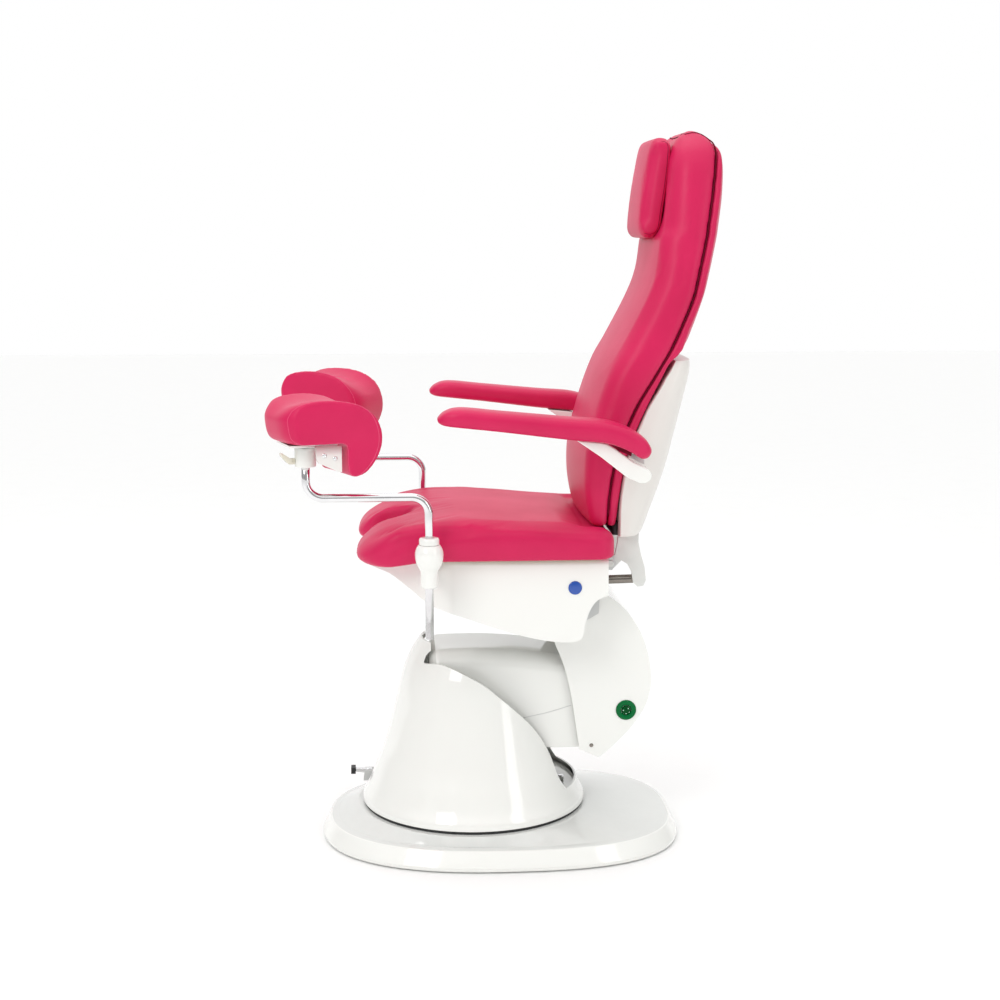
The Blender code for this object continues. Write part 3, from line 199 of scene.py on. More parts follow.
lowSpecks = mathNode(skinGroup, "MULTIPLY", mathNode(skinGroup, "MULTIPLY", low.outputs[0], specks),
                sIn.outputs["FloorSpecks"])
skinGroup.links.new(mathNode(skinGroup, "ADD", mathNode(skinGroup, "MULTIPLY", peel, 0.5), wave),
                    sOut.inputs["Height"])
skinGroup.links.new(mathNode(skinGroup, "ADD", mathNode(skinGroup, "MULTIPLY", wave, 0.5), lowSpecks),
                    sOut.inputs["Tone"])
skinGroup.links.new(mathNode(skinGroup, "ADD", mathNode(skinGroup, "MULTIPLY", wave, 0.6), lowSpecks),
                    sOut.inputs["Gloss"])

# handled metal: fine draw lines and smudges
metalGroup, mIn, mOut = newGroup("handledMetal", [("Lines", 900.0), ("Smudge", 28.0)])
coords = addNode(metalGroup, "ShaderNodeTexCoord").outputs["Object"]
stretch = addNode(metalGroup, "ShaderNodeMapping")
stretch.inputs["Scale"].default_value = (1.0, 1.0, 0.06)
metalGroup.links.new(coords, stretch.inputs["Vector"])
lines = noiseNode(metalGroup, stretch.outputs[0], mIn.outputs["Lines"], 2.0, 0.6)
smudge = noiseNode(metalGroup, coords, mIn.outputs["Smudge"], 4.0, 0.6)
metalGroup.links.new(lines, mOut.inputs["Height"])
metalGroup.links.new(smudge, mOut.inputs["Tone"])
metalGroup.links.new(mathNode(metalGroup, "ADD", mathNode(metalGroup, "MULTIPLY", lines, 0.35),
                              mathNode(metalGroup, "MULTIPLY", smudge, 0.65)), mOut.inputs["Gloss"])


def finish(name, group, light, dark, rough, bump, metal=0.0, coat=0.0, coatRough=0.1,
           inputs=(), specular=0.5):
    material = bpy.data.materials.new(name)
    material.use_nodes = True
    tree = material.node_tree
    shader = tree.nodes["Principled BSDF"]
    surface = addNode(tree, "ShaderNodeGroup")
    surface.node_tree = group
    for label, value in inputs:
        surface.inputs[label].default_value = value
    ramp = addNode(tree, "ShaderNodeValToRGB")
    ramp.color_ramp.elements[0].position, ramp.color_ramp.elements[1].position = 0.25, 0.75
    ramp.color_ramp.elements[0].color = (*light, 1.0)
    ramp.color_ramp.elements[1].color = (*dark, 1.0)
    tree.links.new(surface.outputs["Tone"], ramp.inputs["Fac"])
    tree.links.new(ramp.outputs["Color"], shader.inputs["Base Color"])
    gloss = addNode(tree, "ShaderNodeMapRange")
    tree.links.new(surface.outputs["Gloss"], gloss.inputs["Value"])
    gloss.inputs["From Min"].default_value, gloss.inputs["From Max"].default_value = 0.2, 0.8
    gloss.inputs["To Min"].default_value, gloss.inputs["To Max"].default_value = rough
    tree.links.new(gloss.outputs[0], shader.inputs["Roughness"])
    relief = addNode(tree, "ShaderNodeBump")
    relief.inputs["Strength"].default_value, relief.inputs["Distance"].default_value = bump
    tree.links.new(surface.outputs["Height"], relief.inputs["Height"])
    tree.links.new(relief.outputs["Normal"], shader.inputs["Normal"])
    shader.inputs["Metallic"].default_value = metal
    shader.inputs["IOR"].default_value = 1.5
    shader.inputs["Specular IOR Level"].default_value = specular
    shader.inputs["Coat Weight"].default_value = coat
    shader.inputs["Coat Roughness"].default_value = coatRough
    material.diffuse_color = (*light, 1.0)
    return material


finishes = {
    "vinyl": finish("pinkVinyl", grainGroup, (0.68, 0.014, 0.103), (0.59, 0.010, 0.083), (0.40, 0.50),
                    (0.12, 0.0004), coat=0.04, coatRough=0.25, specular=0.27),
    # dark pink for seam beads, and painted shade on the arm flap and along the headrest's rear edge
    "vinylSeamShade": finish("pinkSeamShade", grainGroup, (0.17, 0.003, 0.020), (0.11, 0.002, 0.013), (0.65, 0.8),
                        (0.2, 0.0003), specular=0.12),
    # lighter pink for the crutch pads' rim beads and stitch: painted highlight along the seams
    "vinylEdgeHighlight": finish("pinkEdgeHighlight", grainGroup, (0.78, 0.075, 0.19), (0.70, 0.055, 0.16), (0.40, 0.55),
                        (0.1, 0.0003), specular=0.3),
    "white": finish("whiteMoulding", skinGroup, (0.90, 0.905, 0.868), (0.88, 0.885, 0.848), (0.09, 0.15),
                    (0.05, 0.0006), coat=0.6, coatRough=0.05),
    # a darker copy of the white moulding: painted shade on the base cover's top
    "base": finish("baseMouldingShaded", skinGroup, (0.765, 0.775, 0.75), (0.715, 0.725, 0.70), (0.12, 0.26),
                   (0.05, 0.0006), coat=0.5, coatRough=0.06, inputs=(("FloorSpecks", 0.5),)),
    "shell": finish("backMoulding", skinGroup, (0.80, 0.775, 0.735), (0.785, 0.76, 0.72), (0.30, 0.36),
                    (0.03, 0.0006), coat=0.15, coatRough=0.2),
    "grey": finish("greyCoat", skinGroup, (0.72, 0.73, 0.70), (0.64, 0.65, 0.62), (0.28, 0.42), (0.10, 0.0006),
                   inputs=(("Peel", 700.0),)),
    "steel": finish("paintedSteel", skinGroup, (0.62, 0.63, 0.62), (0.54, 0.55, 0.54), (0.34, 0.52),
                    (0.14, 0.0006), inputs=(("Peel", 800.0),)),
    "plate": finish("coatedPlate", skinGroup, (0.62, 0.63, 0.62), (0.50, 0.51, 0.50), (0.45, 0.65),
                    (0.2, 0.0006), inputs=(("FloorSpecks", 0.6),)),
    "chrome": finish("chromeSteel", metalGroup, (0.86, 0.86, 0.87), (0.74, 0.74, 0.75), (0.05, 0.16),
                     (0.02, 0.0002), metal=1.0),
    "gunmetal": finish("darkenedSteel", metalGroup, (0.30, 0.27, 0.24), (0.20, 0.18, 0.16), (0.12, 0.28),
                       (0.02, 0.0002), metal=1.0),
    "cream": finish("creamPlastic", skinGroup, (0.74, 0.70, 0.58), (0.68, 0.64, 0.52), (0.22, 0.34),
                    (0.06, 0.0006), coat=0.2),
    # black rubber for the seal ring, and painted shadow for the strip under the back panel
    "rubber": finish("blackRubberAndShade", skinGroup, (0.016, 0.016, 0.017), (0.028, 0.028, 0.028), (0.5, 0.72),
                     (0.25, 0.0006), inputs=(("Peel", 900.0),)),
    "green": finish("greenLens", skinGroup, (0.0, 0.070, 0.014), (0.0, 0.045, 0.010), (0.10, 0.20),
                    (0.03, 0.0004), specular=0.10),
    # pale green for the beads on the button lens: painted glints of the lamps
    "glint": finish("greenGlint", skinGroup, (0.62, 0.95, 0.74), (0.50, 0.90, 0.64), (0.08, 0.16), (0.03, 0.0004),
                    coat=0.5),
    "greenRing": finish("greenRing", skinGroup, (0.0, 0.140, 0.034), (0.0, 0.105, 0.026), (0.14, 0.28),
                        (0.05, 0.0004), specular=0.15),
    "blue": finish("blueCap", skinGroup, (0.010, 0.075, 0.40), (0.008, 0.060, 0.33), (0.12, 0.24),
                   (0.05, 0.0004), coat=0.5),
    "ply": finish("plywood", metalGroup, (0.46, 0.33, 0.20), (0.36, 0.25, 0.14), (0.5, 0.7), (0.2, 0.0006),
                  inputs=(("Lines", 220.0),)),
    "dark": finish("shadowGap", skinGroup, (0.012, 0.012, 0.012), (0.02, 0.02, 0.02), (0.6, 0.8),
                   (0.1, 0.0004)),
}
slotFinish = {
    "steel_painted": "steel", "steel_plate": "plate", "white_gloss": "white", "white_base": "base",
    "white_back": "shell", "bracket_grey": "grey", "chrome": "chrome", "black_rubber": "rubber",
    "pink_vinyl": "vinyl", "green_plastic": "green", "blue_plastic": "blue", "ply_board": "ply",
}
for part in frame["record"]["subparts"]:
    obj = nodes[part["node"]]
    obj.data.materials.clear()
    obj.data.materials.append(finishes[slotFinish[part["material_slot"]]])
nodes["button_bezel"].data.materials[0] = finishes["greenRing"]
nodes["cheek_screw"].data.materials[0] = finishes["gunmetal"]
for node in ("head_rail", "headrest_plate"):
    nodes[node].data.materials[0] = finishes["dark"]

# shared making

bothSides = ((-1, "Left"), (1, "Right"))


def clamped(value):
    return min(max(value, 0.0), 1.0)


def gentle(f):
    # the same run with an even start and end
    return f * f * (3 - 2 * f)


def capped(v, end):
    # a skin closes up at both ends: how far it is open there, and the way along between them
    return clamped(min(v, 1.0 - v) / end), clamped((v - end) / (1.0 - 2.0 * end))


def folded(u):
    # once round a section, as the way along one half and the side it is on
    return (2.0 * u, 1.0) if u <= 0.5 else (2.0 * (1.0 - u), -1.0)


def between(rows, t):
    n = len(rows) - 1
    s = clamped(t) * n
    i = min(int(s), n - 1)
    f = s - i
    four = rows[max(i - 1, 0)], rows[i], rows[i + 1], rows[min(i + 2, n)]
    return [0.5 * (2 * b + (c - a) * f + (2 * a - 5 * b + 4 * c - d) * f * f
                   + (3 * b - a - 3 * c + d) * f ** 3) for a, b, c, d in zip(*four)]


def evenly(fine, count, parts):
    # points at equal steps along a finely drawn line
    steps = [0.0]
    for a, b in zip(fine, fine[1:]):
        steps.append(steps[-1] + math.dist(a, b))
    out, k = [], 0
    for i in range(count):
        goal = steps[-1] * i / parts
        while k < len(fine) - 2 and steps[k + 1] < goal:
            k += 1
        f = (goal - steps[k]) / max(steps[k + 1] - steps[k], 1e-9)
        out.append(tuple(p + (q - p) * f for p, q in zip(fine[k], fine[k + 1])))
    return out


def roundLoop(points, count):
    # a smooth closed line through the given points
    ring = list(points)
    n = len(ring)
    fine = []
    for i in range(n):
        rows = [ring[i - 1], ring[i], ring[(i + 1) % n], ring[(i + 2) % n]]
        fine += [tuple(between(rows, (1 + k / 24) / 3)) for k in range(24)]
    return evenly(fine + fine[:1], count, count)


def skin(around, along, place):
    # a grid rolled into a closed skin: place(u, v) with u once round and v from end to end
    bm = bmesh.new()
    bmesh.ops.create_grid(bm, x_segments=around, y_segments=along, size=0.5)
    for v in bm.verts:
        v.co = place(v.co.x + 0.5, v.co.y + 0.5)
    bmesh.ops.remove_doubles(bm, verts=bm.verts, dist=2e-6)
    bmesh.ops.recalc_face_normals(bm, faces=bm.faces)
    return bm


def slab(loop, depth):
    # a flat face through the loop's points, drawn out by depth
    bm = bmesh.new()
    face = bm.faces.new([bm.verts.new(p) for p in loop])
    out = bmesh.ops.extrude_face_region(bm, geom=[face])
    moved = [g for g in out["geom"] if isinstance(g, bmesh.types.BMVert)]
    bmesh.ops.translate(bm, verts=moved, vec=depth)
    bmesh.ops.recalc_face_normals(bm, faces=bm.faces)
    return bm


def toObject(bm, name, material, angle=None):
    mesh = bpy.data.meshes.new(name)
    bm.to_mesh(mesh)
    bm.free()
    for face in mesh.polygons:
        face.use_smooth = True
    if angle:
        mesh.set_sharp_from_angle(angle=math.radians(angle))
    mesh.materials.append(finishes[material])
    obj = bpy.data.objects.new(name, mesh)
    scene.collection.objects.link(obj)
    return obj


def baked(obj):
    # the mesh as its modifiers leave it, put back on the piece with no modifier left
    shape = bpy.data.meshes.new_from_object(obj.evaluated_get(bpy.context.evaluated_depsgraph_get()))
    obj.modifiers.clear()
    old = obj.data
    obj.data = shape
    bpy.data.meshes.remove(old)
    return obj


def modify(obj, kind, **values):
    mod = obj.modifiers.new(kind.lower(), kind)
    for key, value in values.items():
        setattr(mod, key, value)
    return mod


def remeshed(bm, voxel):
    # the solid again, in small even faces that can be shaped
    bmesh.ops.triangulate(bm, faces=[f for f in bm.faces if len(f.verts) > 4])
    obj = toObject(bm, "rough", "vinyl")
    modify(obj, "REMESH", mode="VOXEL", voxel_size=voxel)
    baked(obj)
    fresh = bmesh.new()
    fresh.from_mesh(obj.data)
    bpy.data.objects.remove(obj)
    return fresh


padCloth = {
    "quality": 4, "mass": 0.4, "tension_stiffness": 40.0, "compression_stiffness": 40.0, "shear_stiffness": 20.0,
    "bending_stiffness": 8.0, "use_pressure": True,
}
padFrames = 16


def stuffed(bm, name, body, node, held, voxel, relax, pressure, cap, fill):
    # remeshed skin, filled from inside by a cloth pass where it has pressure; held(co) says what stays put
    obj = toObject(bm, name, "vinyl")
    modify(obj, "REMESH", mode="VOXEL", voxel_size=voxel)
    modify(obj, "SMOOTH", factor=0.5, iterations=relax)
    baked(obj)
    if pressure:
        rest = [v.co.copy() for v in obj.data.vertices]
        pins = obj.vertex_groups.new(name="pins")
        pins.add([i for i, co in enumerate(rest) if held(co)], 1.0, "REPLACE")
        cloth = modify(obj, "CLOTH")
        for key, value in padCloth.items():
            setattr(cloth.settings, key, value)
        cloth.settings.uniform_pressure_force = pressure
        cloth.settings.vertex_group_mass = "pins"
        cloth.settings.effector_weights.gravity = 0.0
        for step in range(1, padFrames + 1):
            scene.frame_set(step)
        grown = obj.evaluated_get(bpy.context.evaluated_depsgraph_get()).to_mesh()
        moved = [v.co.copy() for v in grown.vertices]
        obj.modifiers.clear()
        scene.frame_set(1)
        for v, a, b in zip(obj.data.vertices, rest, moved):
            step = b - a
            far = step.length
            v.co = a + step * (min(far, cap) / far if far > 1e-9 else 0.0)
        modify(obj, "SMOOTH", factor=0.5, iterations=2)
        baked(obj)
    for face in obj.data.polygons:
        face.use_smooth = True
    obj.vertex_groups.clear()
    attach(obj, body)
    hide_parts(node)
    print(name, "stuffed,", len(obj.data.polygons), "faces")
    return obj


def tube(name, points, radius, material, closed=False, around=10):
    # a round bead along a line of points
    line = [Vector(p) for p in points]
    n = len(line)
    rings = []
    side = None
    for i, p in enumerate(line):
        a = line[i - 1] if i or closed else p
        b = line[(i + 1) % n] if i < n - 1 or closed else p
        along = (b - a).normalized()
        if side is None:
            side = along.orthogonal().normalized()
        side = (side - along * side.dot(along)).normalized()
        rings.append((p, side.copy(), along.cross(side)))

    def place(u, v):
        k = min(int(round(v * (n if closed else n - 1))), n if closed else n - 1) % n
        p, s, t = rings[k]
        turn = 2 * math.pi * u
        return p + s * (radius * math.cos(turn)) + t * (radius * math.sin(turn))
    bm = skin(around, n if closed else n - 1, place)
    if not closed:
        bmesh.ops.holes_fill(bm, edges=bm.edges)
        bmesh.ops.recalc_face_normals(bm, faces=bm.faces)
    return toObject(bm, name, material)


def smoothLine(points, count):
    rows = [tuple(p) for p in points]
    return evenly([between(rows, i / 400) for i in range(401)], count, count - 1)


# seat pad with the U front

seatPad = {
    "half": 0.2425, "front": -0.2385, "rear": 0.2670, "low": 0.6207, "top": 0.6990, "cutHalf": 0.0590,
    "cutEnd": -0.124, "droop": (-0.085, 0.130, 0.0135), "crestFall": 0.007,
    "slope": (-0.060, 0.270, 0.0155), "shelf": (0.197, 0.212, 0.0075),
    # width and fall of the rounded top edge, then of the lower edge
    "sideEdge": (0.026, 0.017, 0.010, 0.006), "frontEdge": (0.088, 0.058, 0.034, 0.019),
    "cutEdge": (0.024, 0.016, 0.012, 0.008), "edgeStep": 0.003, "edgeReach": 0.09,
    # where the edge begins to be rounder at the rear, over what length, and how much wider and deeper
    "rearEdge": (0.10, 0.12, 0.5, 0.6), "shelfSide": (0.206, 0.016),
    "rearCorner": 0.035, "frontCorner": 0.085, "lobeCorner": 0.040,
    "rough": 0.005, "heldLow": 0.012, "heldRear": 0.205,
    "stuffing": {"voxel": 0.0045, "relax": 4, "pressure": 3.0, "cap": 0.004, "fill": 0.8},
}


def seatEdge():
    # outline points, each with the edge rounding that belongs there
    s = seatPad
    pts = []

    def arc(cx, cy, r, a0, a1, k, inward=False):
        for i in range(k + 1):
            t = math.radians(a0 + (a1 - a0) * i / k)
            ahead = max(0.0, (1.0 if inward else -1.0) * math.cos(t))
            base = s["cutEdge"] if inward or abs(cy) < 0.12 else s["sideEdge"]
            f = 0.0 if inward else gentle(ahead)
            edge = [a + (b - a) * f for a, b in zip(base, s["frontEdge"])]
            pts.append((cx + r * math.cos(t), cy + r * math.sin(t), edge))
    h, x0, x1, u = s["half"], s["front"], s["rear"], s["cutHalf"]
    a, b, c = s["rearCorner"], s["frontCorner"], s["lobeCorner"]
    arc(x1 - a, -h + a, a, -90, 0, 10)
    arc(x1 - a, h - a, a, 0, 90, 10)
    arc(x0 + b, h - b, b, 90, 180, 22)
    arc(x0 + c, u + c, c, 180, 270, 14)
    arc(s["cutEnd"] - u, 0.0, u, 90, -90, 28, True)
    arc(x0 + c, -u - c, c, 90, 180, 14)
    arc(x0 + b, -h + b, b, 180, 270, 22)
    return pts


def fineEdge():
    pts = seatEdge()
    out = []
    for (ax, ay, ae), (bx, by, be) in zip(pts, pts[1:] + pts[:1]):
        n = max(1, int(math.dist((ax, ay), (bx, by)) / seatPad["edgeStep"]))
        for i in range(n):
            f = i / n
            out.append((ax + (bx - ax) * f, ay + (by - ay) * f, [p + (q - p) * f for p, q in zip(ae, be)]))
    return out


def rounding(near, width, fall):
    return fall * (1 - math.sqrt(max(0.0, 1 - (1 - near / width) ** 2))) if near < width else 0.0


def makeSeat():
    s = seatPad
    bm = slab([(x, y, s["low"]) for x, y, edge in seatEdge()], (0, 0, s["top"] - s["low"]))
    bm = remeshed(bm, s["rough"])
    edge = fineEdge()
    tree = KDTree(len(edge))
    for i, (x, y, e) in enumerate(edge):
        tree.insert((x, y, 0.0), i)
    tree.balance()
    for v in bm.verts:
        x, y, z = v.co
        rise = clamped((z - s["low"]) / (s["top"] - s["low"]))
        upper = lower = 0.0
        start, run, wider, deeper = s["rearEdge"]
        far = clamped((x - start) / run)
        for at, i, near in tree.find_range((x, y, 0.0), s["edgeReach"]):
            w, d, wb, db = edge[i][2]
            upper = max(upper, rounding(near, w * (1 + wider * far), d * (1 + deeper * far)))
            lower = max(lower, rounding(near, wb, db))
        start, run, droop = s["droop"]
        t = clamped((start - x) / run)
        high = s["top"] - upper - s["crestFall"] * t
        start, run, fall = s["slope"]
        f = clamped((x - start) / run)
        high -= fall * (0.5 * f + 0.5 * gentle(f))
        start, end, fall = s["shelf"]
        side, run = s["shelfSide"]
        high -= fall * gentle(clamped((x - start) / (end - start)) * clamped((side - abs(y)) / run))
        deepest = s["low"] + lower
        v.co.z = deepest + (high - deepest) * rise - droop * gentle(t)
    stuffed(bm, "seatPad", "seat", "seat_cushion",
            lambda co: co.z < s["low"] + s["heldLow"] or co.x > s["heldRear"], **s["stuffing"])


makeSeat()

# back cushion, its rear band and the seam between them

backPad = {
    # height, front, seam, rear, width share
    "spine": [(0.6775, 0.2300, 0.2570, 0.2740, 0.930), (0.690, 0.2225, 0.2575, 0.2750, 0.970),
              (0.752, 0.2120, 0.2615, 0.2825, 1.000), (0.827, 0.2150, 0.2765, 0.2975, 1.000),
              (0.910, 0.2365, 0.3100, 0.3310, 1.000), (0.970, 0.2575, 0.3455, 0.3610, 1.000),
              (1.006, 0.2755, 0.3670, 0.3825, 0.995), (1.038, 0.2940, 0.3845, 0.4300, 0.985),
              (1.120, 0.3360, 0.4200, 0.4600, 0.955), (1.173, 0.3550, 0.4335, 0.4745, 0.925),
              (1.240, 0.3640, 0.4480, 0.4880, 0.885), (1.262, 0.3710, 0.4512, 0.4915, 0.870),
              (1.320, 0.3775, 0.4595, 0.4980, 0.835), (1.374, 0.3825, 0.4660, 0.4985, 0.785),
              (1.404, 0.3860, 0.4690, 0.4920, 0.725), (1.422, 0.3915, 0.4660, 0.4840, 0.655),
              (1.435, 0.4000, 0.4570, 0.4730, 0.570), (1.444, 0.4110, 0.4480, 0.4610, 0.480),
              (1.450, 0.4240, 0.4370, 0.4460, 0.380)],
    # height and width of the rear band's side
    "band": [(1.020, 0.024), (1.060, 0.018), (1.320, 0.016), (1.374, 0.014), (1.422, 0.010), (1.450, 0.006)],
    "half": 0.1945, "softEdge": 0.045, "crown": 0.008, "hollow": 0.009, "tuck": 0.010,
    "ends": 0.06, "gap": 0.0012, "lowBand": (1.02, 0.021), "bandCrown": (1.006, 0.032), "bandSoft": 0.009,
    # the band's top: where it starts, over what height, how far it draws in and comes down
    "bandTop": (1.36, 0.09, 0.016, 0.012),
    # where the crown turns to the hollow behind the headrest, and where that ends
    "hollowFrom": (1.285, 0.045), "hollowTo": (1.452, 0.05), "rearRound": (0.030, 0.36), "heldRear": 0.010,
    "stuffing": {"voxel": 0.0055, "relax": 5, "pressure": 2.5, "cap": 0.004, "fill": 0.85},
    "bandStuffing": {"voxel": 0.005, "relax": 3, "pressure": 0.0, "cap": 0.0, "fill": 0.9},
}


def spineAt(z):
    rows = backPad["spine"]
    k = 0
    while k < len(rows) - 2 and rows[k + 1][0] < z:
        k += 1
    a, b = rows[k], rows[k + 1]
    return between(rows, (k + clamped((z - a[0]) / (b[0] - a[0]))) / (len(rows) - 1))


def sectionPoint(u, front, rear, half, crown, soft, rearSoft, rearLong, rearCrown):
    # one point of a padded section; u runs from the middle of the front round one side and back
    u, side = folded(u)
    soft = min(soft, (rear - front) * 0.62)
    if u < 0.36:
        y = u / 0.36 * (half - soft)
        x = front - crown * (1 - (y / max(half - soft, 1e-6)) ** 2)
    elif u < 0.56:
        t = (u - 0.36) / 0.20 * math.pi / 2
        y, x = half - soft + soft * math.sin(t), front + soft * 0.85 * (1 - math.cos(t))
    elif u < 0.62:
        t = (u - 0.56) / 0.06
        x = front + soft * 0.85 + t * (rear - rearLong - front - soft * 0.85)
        y = half
    elif u < 0.72:
        t = (u - 0.62) / 0.10 * math.pi / 2
        x, y = rear - rearLong * (1 - math.sin(t)), half - rearSoft * (1 - math.cos(t))
    else:
        t = (u - 0.72) / 0.28
        y = (half - rearSoft) * (1 - t)
        x = rear + rearCrown * (1 - (1 - t) ** 2)
    return x, side * y


def bandAt(z):
    rows = backPad["band"]
    for (a, p), (b, q) in zip(rows, rows[1:]):
        if z <= b:
            return p + (q - p) * max(0.0, (z - a) / (b - a))
    return rows[-1][1]


def backSkin(isBand):
    s = backPad
    low, high = s["spine"][0][0], s["spine"][-1][0]

    def place(u, v):
        opened, v = capped(v, s["ends"])
        z, front, seam, rear, k = spineAt(low + (high - low) * v)
        half = s["half"] * k
        if isBand:
            level, width = s["lowBand"]
            edge = min(seam + (width if z < level else bandAt(z)), rear)
            level, run = s["bandCrown"]
            crown = max(0.0, rear - edge) * clamped((z - level) / run)
            level, run, drawn, down = s["bandTop"]
            top = max(0.0, (z - level) / run) ** 2
            half -= s["tuck"] * 0.5 + drawn * top
            soft = s["bandSoft"]
            x, y = sectionPoint(u, seam + s["gap"], edge, half, 0.0, soft, soft, soft, crown)
            z -= down * top
            mid = (seam + edge) / 2
        else:
            level, run = s["hollowFrom"]
            full = clamped((level - z) / run)
            level, run = s["hollowTo"]
            crown = s["crown"] * k * full - s["hollow"] * (1 - full) * min(1.0, (level - z) / run)
            most, part = s["rearRound"]
            deep = min(most, (seam - front) * part)
            x, y = sectionPoint(u, front, seam - s["gap"], half, crown, s["softEdge"], s["tuck"], deep, 0.0)
            mid = (front + seam) / 2
        return Vector((mid + (x - mid) * opened, y * opened, z))
    return skin(150, 150, place)


backPiece = stuffed(backSkin(False), "backPad", "backrest", "back_cushion",
                    lambda co: co.x > spineAt(co.z)[2] - backPad["heldRear"], **backPad["stuffing"])
stuffed(backSkin(True), "backBand", "backrest", "back_panel", lambda co: True, **backPad["bandStuffing"])

# headrest, arm pads and knee crutch pads

headPad = {
    "side": [(0.3560, 1.4340), (0.3720, 1.4355), (0.3820, 1.4310), (0.3855, 1.4190), (0.3835, 1.3780),
             (0.3780, 1.3320), (0.3725, 1.2950), (0.3680, 1.2610), (0.3620, 1.2470), (0.3505, 1.2405),
             (0.3360, 1.2415), (0.3270, 1.2500), (0.3235, 1.2680), (0.3285, 1.3228), (0.3370, 1.3782),
             (0.3455, 1.4200)],
    "half": 0.101, "crown": 0.005, "round": 0.026, "lean": (0.3235, 1.268, 0.1447),
    # heights between which the front leans, and those between which its corners are rounded, with the run-out
    "leanEnds": (1.262, 1.420), "roundEnds": (1.244, 1.434, 0.026), "crownDeep": 0.030,
    # the sides draw in towards a height, by a share, from this far out
    "drawIn": (1.336, 0.10, 0.80), "rough": 0.0032, "held": (0.362, 1.27, 1.41),
    "stuffing": {"voxel": 0.0032, "relax": 9, "pressure": 2.0, "cap": 0.003, "fill": 0.8},
}


def makeHead():
    s = headPad
    half, r = s["half"], s["round"]
    bm = slab([(x, -half, z) for x, z in roundLoop(s["side"], 150)], (0, 2 * half, 0))
    bm = remeshed(bm, s["rough"])
    x0, z0, slope = s["lean"]
    low, high = s["leanEnds"]
    first, last, run = s["roundEnds"]
    level, draw, start = s["drawIn"]
    for v in bm.verts:
        out = abs(v.co.y) / half
        front = x0 + (min(max(v.co.z, low), high) - z0) * slope
        deep, side = max(0.0, v.co.x - front), half - abs(v.co.y)
        if deep < r and side < r:
            # the corner between front and side becomes a quarter round
            t = ((side if side > deep else -deep) + r) / (2 * r) * math.pi / 2
            share = clamped(min(v.co.z - first, last - v.co.z) / run)
            v.co.x += max(0.0, r * (1 - math.sin(t)) - deep) * share
            v.co.y -= math.copysign(max(0.0, r * (1 - math.cos(t)) - side), v.co.y) * share
        v.co.x += s["crown"] * out ** 3 * max(0.0, 1 - deep / s["crownDeep"])
        v.co.z += (level - v.co.z) * draw * max(0.0, out - start) / (1 - start)
    rear, low, high = s["held"]
    return stuffed(bm, "headPad", "headrest", "headrest_cushion",
                   lambda co: co.x > rear and low < co.z < high, **s["stuffing"])


armPad = {
    # top x, top z, low x, low z, width share
    "rows": [(-0.082, 0.907, -0.080, 0.899, 0.40), (-0.068, 0.920, -0.066, 0.894, 0.75),
             (-0.038, 0.927, -0.030, 0.890, 0.95), (0.037, 0.920, 0.040, 0.8825, 1.0),
             (0.157, 0.909, 0.157, 0.868, 1.0), (0.232, 0.903, 0.229, 0.861, 1.0),
             (0.278, 0.889, 0.262, 0.852, 1.0), (0.309, 0.869, 0.285, 0.841, 0.93),
             (0.323, 0.847, 0.300, 0.831, 0.78), (0.319, 0.832, 0.310, 0.828, 0.45)],
    "section": [(0.0, 0.0), (0.50, 0.015), (0.84, 0.10), (0.985, 0.30), (1.0, 0.50), (0.95, 0.80),
                (0.82, 0.955), (0.55, 1.0), (0.0, 1.0)],
    "half": 0.0395, "line": 0.290, "ends": 0.05,
    "stuffing": {"voxel": 0.0035, "relax": 2, "pressure": 1.5, "cap": 0.002, "fill": 0.85},
}


def makeArmPad(sign, tag):
    s, low = armPad, tag.lower()

    def place(u, v):
        opened, v = capped(v, s["ends"])
        xt, zt, xb, zb, k = between(s["rows"], v)
        u, side = folded(u)
        wide, down = between(s["section"], u)
        wide *= s["half"] * k * opened
        down = 0.5 + (down - 0.5) * opened
        return Vector((xt + (xb - xt) * down, sign * s["line"] + side * wide, zt + (zb - zt) * down))
    # held all over, so the pad keeps its drawn form
    stuffed(skin(72, 150, place), "armPad" + tag, "armrest_" + low, "armrest_pad_" + low, lambda co: True,
            **s["stuffing"])


crutchPad = {
    "side": [(-0.062, 0.905), (-0.060, 0.925), (-0.045, 0.945), (-0.010, 0.9535), (0.040, 0.953),
             (0.080, 0.943), (0.108, 0.922), (0.122, 0.892), (0.123, 0.862), (0.112, 0.834),
             (0.092, 0.811), (0.072, 0.803), (0.0605, 0.8075), (0.0575, 0.822), (0.0572, 0.835),
             (0.0572, 0.850), (0.0570, 0.860), (0.052, 0.8655), (0.040, 0.8660), (0.0, 0.8660), (-0.030, 0.8660),
             (-0.046, 0.8665), (-0.057, 0.878)],
    "half": 0.069, "dip": 0.014, "outer": (0.17, 0.01, 0.10), "inner": (0.15, 0.16, 0.06), "skew": 0.13,
    "splay": 17.0, "hold": (-0.329, 0.286), "middle": 0.040, "dipFrom": (0.90, 0.04), "fallFrom": 0.880,
    "farRise": 0.10, "rough": 0.003, "held": 0.872,
    "stuffing": {"voxel": 0.003, "relax": 4, "pressure": 1.5, "cap": 0.002, "fill": 0.85},
}


def splayTurn(sign):
    x, y = crutchPad["hold"]
    turn = Matrix.Rotation(-sign * math.radians(crutchPad["splay"]), 4, "Z")
    return Matrix.Translation((x, sign * y, 0.0)) @ turn


